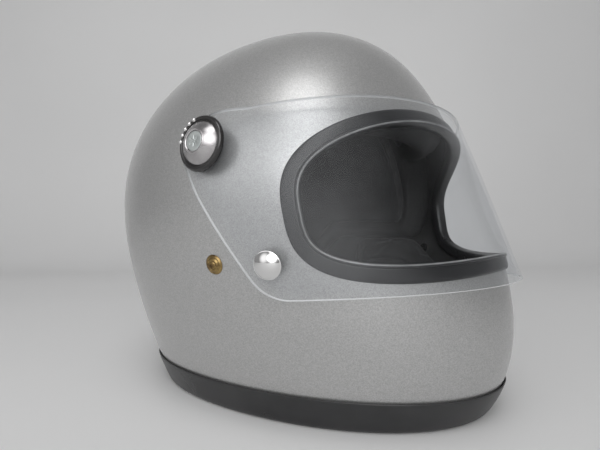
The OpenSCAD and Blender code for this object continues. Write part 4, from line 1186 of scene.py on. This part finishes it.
def webbing(name, path, node, side):
    """Flat strap: a thin rounded section, wide and flat by powers of the cosine and sine, carried along
    a path whose corners are eased twice."""
    for _ in range(2):
        path = np.concatenate([path[:1], cut_corners(path[:-1], path[1:], 0.2), path[-1:]])
    step = np.gradient(path, axis=0)
    step /= np.linalg.norm(step, axis=1, keepdims=True)
    across = np.stack([-step[:, 1], step[:, 0]], 1)
    t = np.linspace(0, 2 * np.pi, 33)[:-1]
    width = STRAP_W / 2 * np.sign(np.cos(t)) * np.abs(np.cos(t)) ** 0.35
    thick = STRAP_T / 2 * np.sign(np.sin(t)) * np.abs(np.sin(t)) ** 0.5
    flat = path[:, None] + across[:, None] * thick[None, :, None]
    foot = RIVET_SKIN @ STRAP_AXIS
    points = (flat[..., :1] * STRAP_OUT + flat[..., 1:] * np.array([0, 0, 1.0])
              + (foot - width[None, :, None]) * STRAP_AXIS)
    n = len(t)
    sides = [grid_faces(len(path), n, wrap_cols=True)]
    ends = [np.arange(n)[None, ::-1], (len(path) - 1) * n + np.arange(n)[None]]
    length = np.concatenate([[0], np.cumsum(np.linalg.norm(np.diff(path, axis=0), axis=1))])

    def weave(where):
        """Millimetres along the nearest part of the path and across the strap."""
        here = where if side == RIGHT else mirrored(where)
        plane = np.stack([here @ STRAP_OUT, here[:, 2]], 1)
        near = np.argmin(((plane[:, None] - path[None]) ** 2).sum(-1), axis=1)
        return np.stack([length[near], here @ STRAP_AXIS], 1)

    return build(name, sided(points.reshape(-1, 3), side), sides + ends, WEBBING, "helmet", [node],
                 sharp=50, uv=weave)


INNER_R = wall_out(30, CHEEK_DEPTH + CHEEK_T)
FOLD_Z, FOLD_RISE, LOOP_R, BAR_STEP = 1.6, 2.6, RING_WIRE / 2 + 0.35, RING_WIRE + 0.4
BAR_R, BAR_Z = INNER_R - 16, 0.4 + STRAP_T + 0.35 + RING_WIRE / 2
folded_end = [[INNER_R + 6, 15], [INNER_R, 9], [INNER_R - 8, 4], [INNER_R - 16, FOLD_Z],
              [INNER_R - 38, FOLD_Z], [INNER_R - 39.5, FOLD_Z + FOLD_RISE / 2],
              [INNER_R - 38, FOLD_Z + FOLD_RISE], [INNER_R - 16, FOLD_Z + FOLD_RISE]]
webbing("strap_left_half", strap_path(folded_end), "chin_strap_long", LEFT)
loop_mid = LOOP_R + STRAP_T / 2
round_bars = ([[BAR_R + loop_mid, BAR_Z + BAR_STEP * 0.8]]
              + arc([BAR_R, BAR_Z + BAR_STEP], loop_mid, np.radians(20), np.radians(180), 8).tolist()
              + arc([BAR_R, BAR_Z], loop_mid, np.radians(180), np.radians(350), 8).tolist()
              + [[BAR_R + loop_mid + 0.1, BAR_Z + BAR_STEP * 0.5]])
to_bars = [[INNER_R + 6, 15], [INNER_R, 11], [INNER_R - 6, 7.6]]
webbing("strap_right_half", strap_path(to_bars + round_bars), "chin_strap_short", RIGHT)

# Small metal pieces that keep their CAD shape

PAIRS = {"pivot_pin": STEEL, "pivot_nut": STEEL, "pivot_washer": BLACK, "ring_rivets": MIRROR,
         "snap_stud": MIRROR, "strap_anchor": STEEL}
KEPT = {stem + "_" + side_name(side): finish for stem, finish in PAIRS.items() for side in (RIGHT, LEFT)}
KEPT.update(d_ring_upper=STEEL, d_ring_lower=STEEL, strap_end_snap=MIRROR)
for name, finish in KEPT.items():
    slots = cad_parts[name].data.materials
    slots.clear()
    slots.append(finish)

# Floor, backdrop and light, in metres

FLOOR_NEAR, BEND_START, BEND_R, BACKDROP_TOP, HALF_WIDTH = -1.6, 0.9, 0.5, 2.6, 2.6
WORLD_COLOUR, WORLD_STRENGTH = (0.82, 0.82, 0.825, 1), 0.34
SOFT_BOXES = {"key": ((1.35, -1.75, 1.1), 3.2, 44.0), "side": ((-0.35, -2.1, 0.9), 3.0, 11.0),
              "top": ((0.5, -0.6, 1.6), 1.4, 8.0)}
AIM_AT = [0, 0, 0.13]
FADE_OUT, FADE_IN, MIDDLE_STRENGTH = 0.5, 0.1, 2.4


def backdrop():
    """Pale floor that turns up into a backdrop in a quarter of a circle, square to the camera's yaw."""
    t = np.linspace(0, np.pi / 2, 24)
    turn = np.stack([BEND_START + BEND_R * np.sin(t), BEND_R - BEND_R * np.cos(t)], 1)
    profile = np.concatenate([[[FLOOR_NEAR, 0.0]], turn, [[BEND_START + BEND_R, BACKDROP_TOP]]])
    ahead = np.array([-np.sin(CAMERA_YAW), np.cos(CAMERA_YAW), 0])
    beside = np.array([np.cos(CAMERA_YAW), np.sin(CAMERA_YAW), 0])
    wide = np.array([-HALF_WIDTH, HALF_WIDTH])
    points = (profile[:, None, :1] * ahead + profile[:, None, 1:] * np.array([0, 0, 1.0])
              + wide[None, :, None] * beside)
    mesh = bpy.data.meshes.new("floor")
    mesh.from_pydata(points.reshape(-1, 3).tolist(), [], grid_faces(len(profile), 2).tolist())
    mesh.polygons.foreach_set("use_smooth", np.ones(len(mesh.polygons), bool))
    pale = Finish("pale_floor", (0.74, 0.74, 0.73), 0.6)
    pale.drive("Base Color", pale.shade(pale.noise(400, 2), [(0.3, 0.72), (0.7, 0.76)]))
    mesh.materials.append(pale.material)
    floor = bpy.data.objects.new("floor", mesh)
    bpy.context.scene.collection.objects.link(floor)


def soft_world():
    """Even pale light from all around."""
    world = bpy.data.worlds.new("studio")
    world.use_nodes = True
    background = world.node_tree.nodes["Background"]
    background.inputs["Color"].default_value = WORLD_COLOUR
    background.inputs["Strength"].default_value = WORLD_STRENGTH
    bpy.context.scene.world = world


def soften(lamp):
    """Soft box that is bright in the middle and fades to nothing in a circle towards its edges."""
    lamp.use_nodes = True
    tree = lamp.node_tree
    where = tree.nodes.new("ShaderNodeNewGeometry")
    centred = tree.nodes.new("ShaderNodeVectorMath")
    centred.operation = "SUBTRACT"
    centred.inputs[1].default_value = (0.5, 0.5, 0)
    length = tree.nodes.new("ShaderNodeVectorMath")
    length.operation = "LENGTH"
    fade = tree.nodes.new("ShaderNodeMapRange")
    fade.interpolation_type = "SMOOTHSTEP"
    for number, value in enumerate((FADE_OUT, FADE_IN, 0.0, MIDDLE_STRENGTH), 1):
        fade.inputs[number].default_value = value
    tree.links.new(where.outputs["Parametric"], centred.inputs[0])
    tree.links.new(centred.outputs["Vector"], length.inputs[0])
    tree.links.new(length.outputs["Value"], fade.inputs["Value"])
    tree.links.new(fade.outputs["Result"], tree.nodes["Emission"].inputs["Strength"])


def axes_towards(away):
    """Axes of a lamp whose back points away from the helmet."""
    third = away / np.linalg.norm(away)
    first = np.cross([0, 0, 1.0], third)
    first /= np.linalg.norm(first)
    return first, np.cross(third, first), third


def soft_box(name, at, size, power):
    """Square lamp that faces the helmet and that the camera doesn't see."""
    lamp = bpy.data.lights.new(name, "AREA")
    lamp.size = size
    lamp.energy = power
    soften(lamp)
    box = bpy.data.objects.new(name, lamp)
    box.visible_camera = False
    bpy.context.scene.collection.objects.link(box)
    axes = np.column_stack(axes_towards(np.array(at) - AIM_AT))
    box.matrix_world = Matrix.Translation(at) @ Matrix(axes.tolist()).to_4x4()


backdrop()
soft_world()
for name, (at, size, power) in SOFT_BOXES.items():
    soft_box(name, at, size, power)
bpy.context.scene.view_settings.view_transform = "Standard"

bpy.context.view_layer.update()
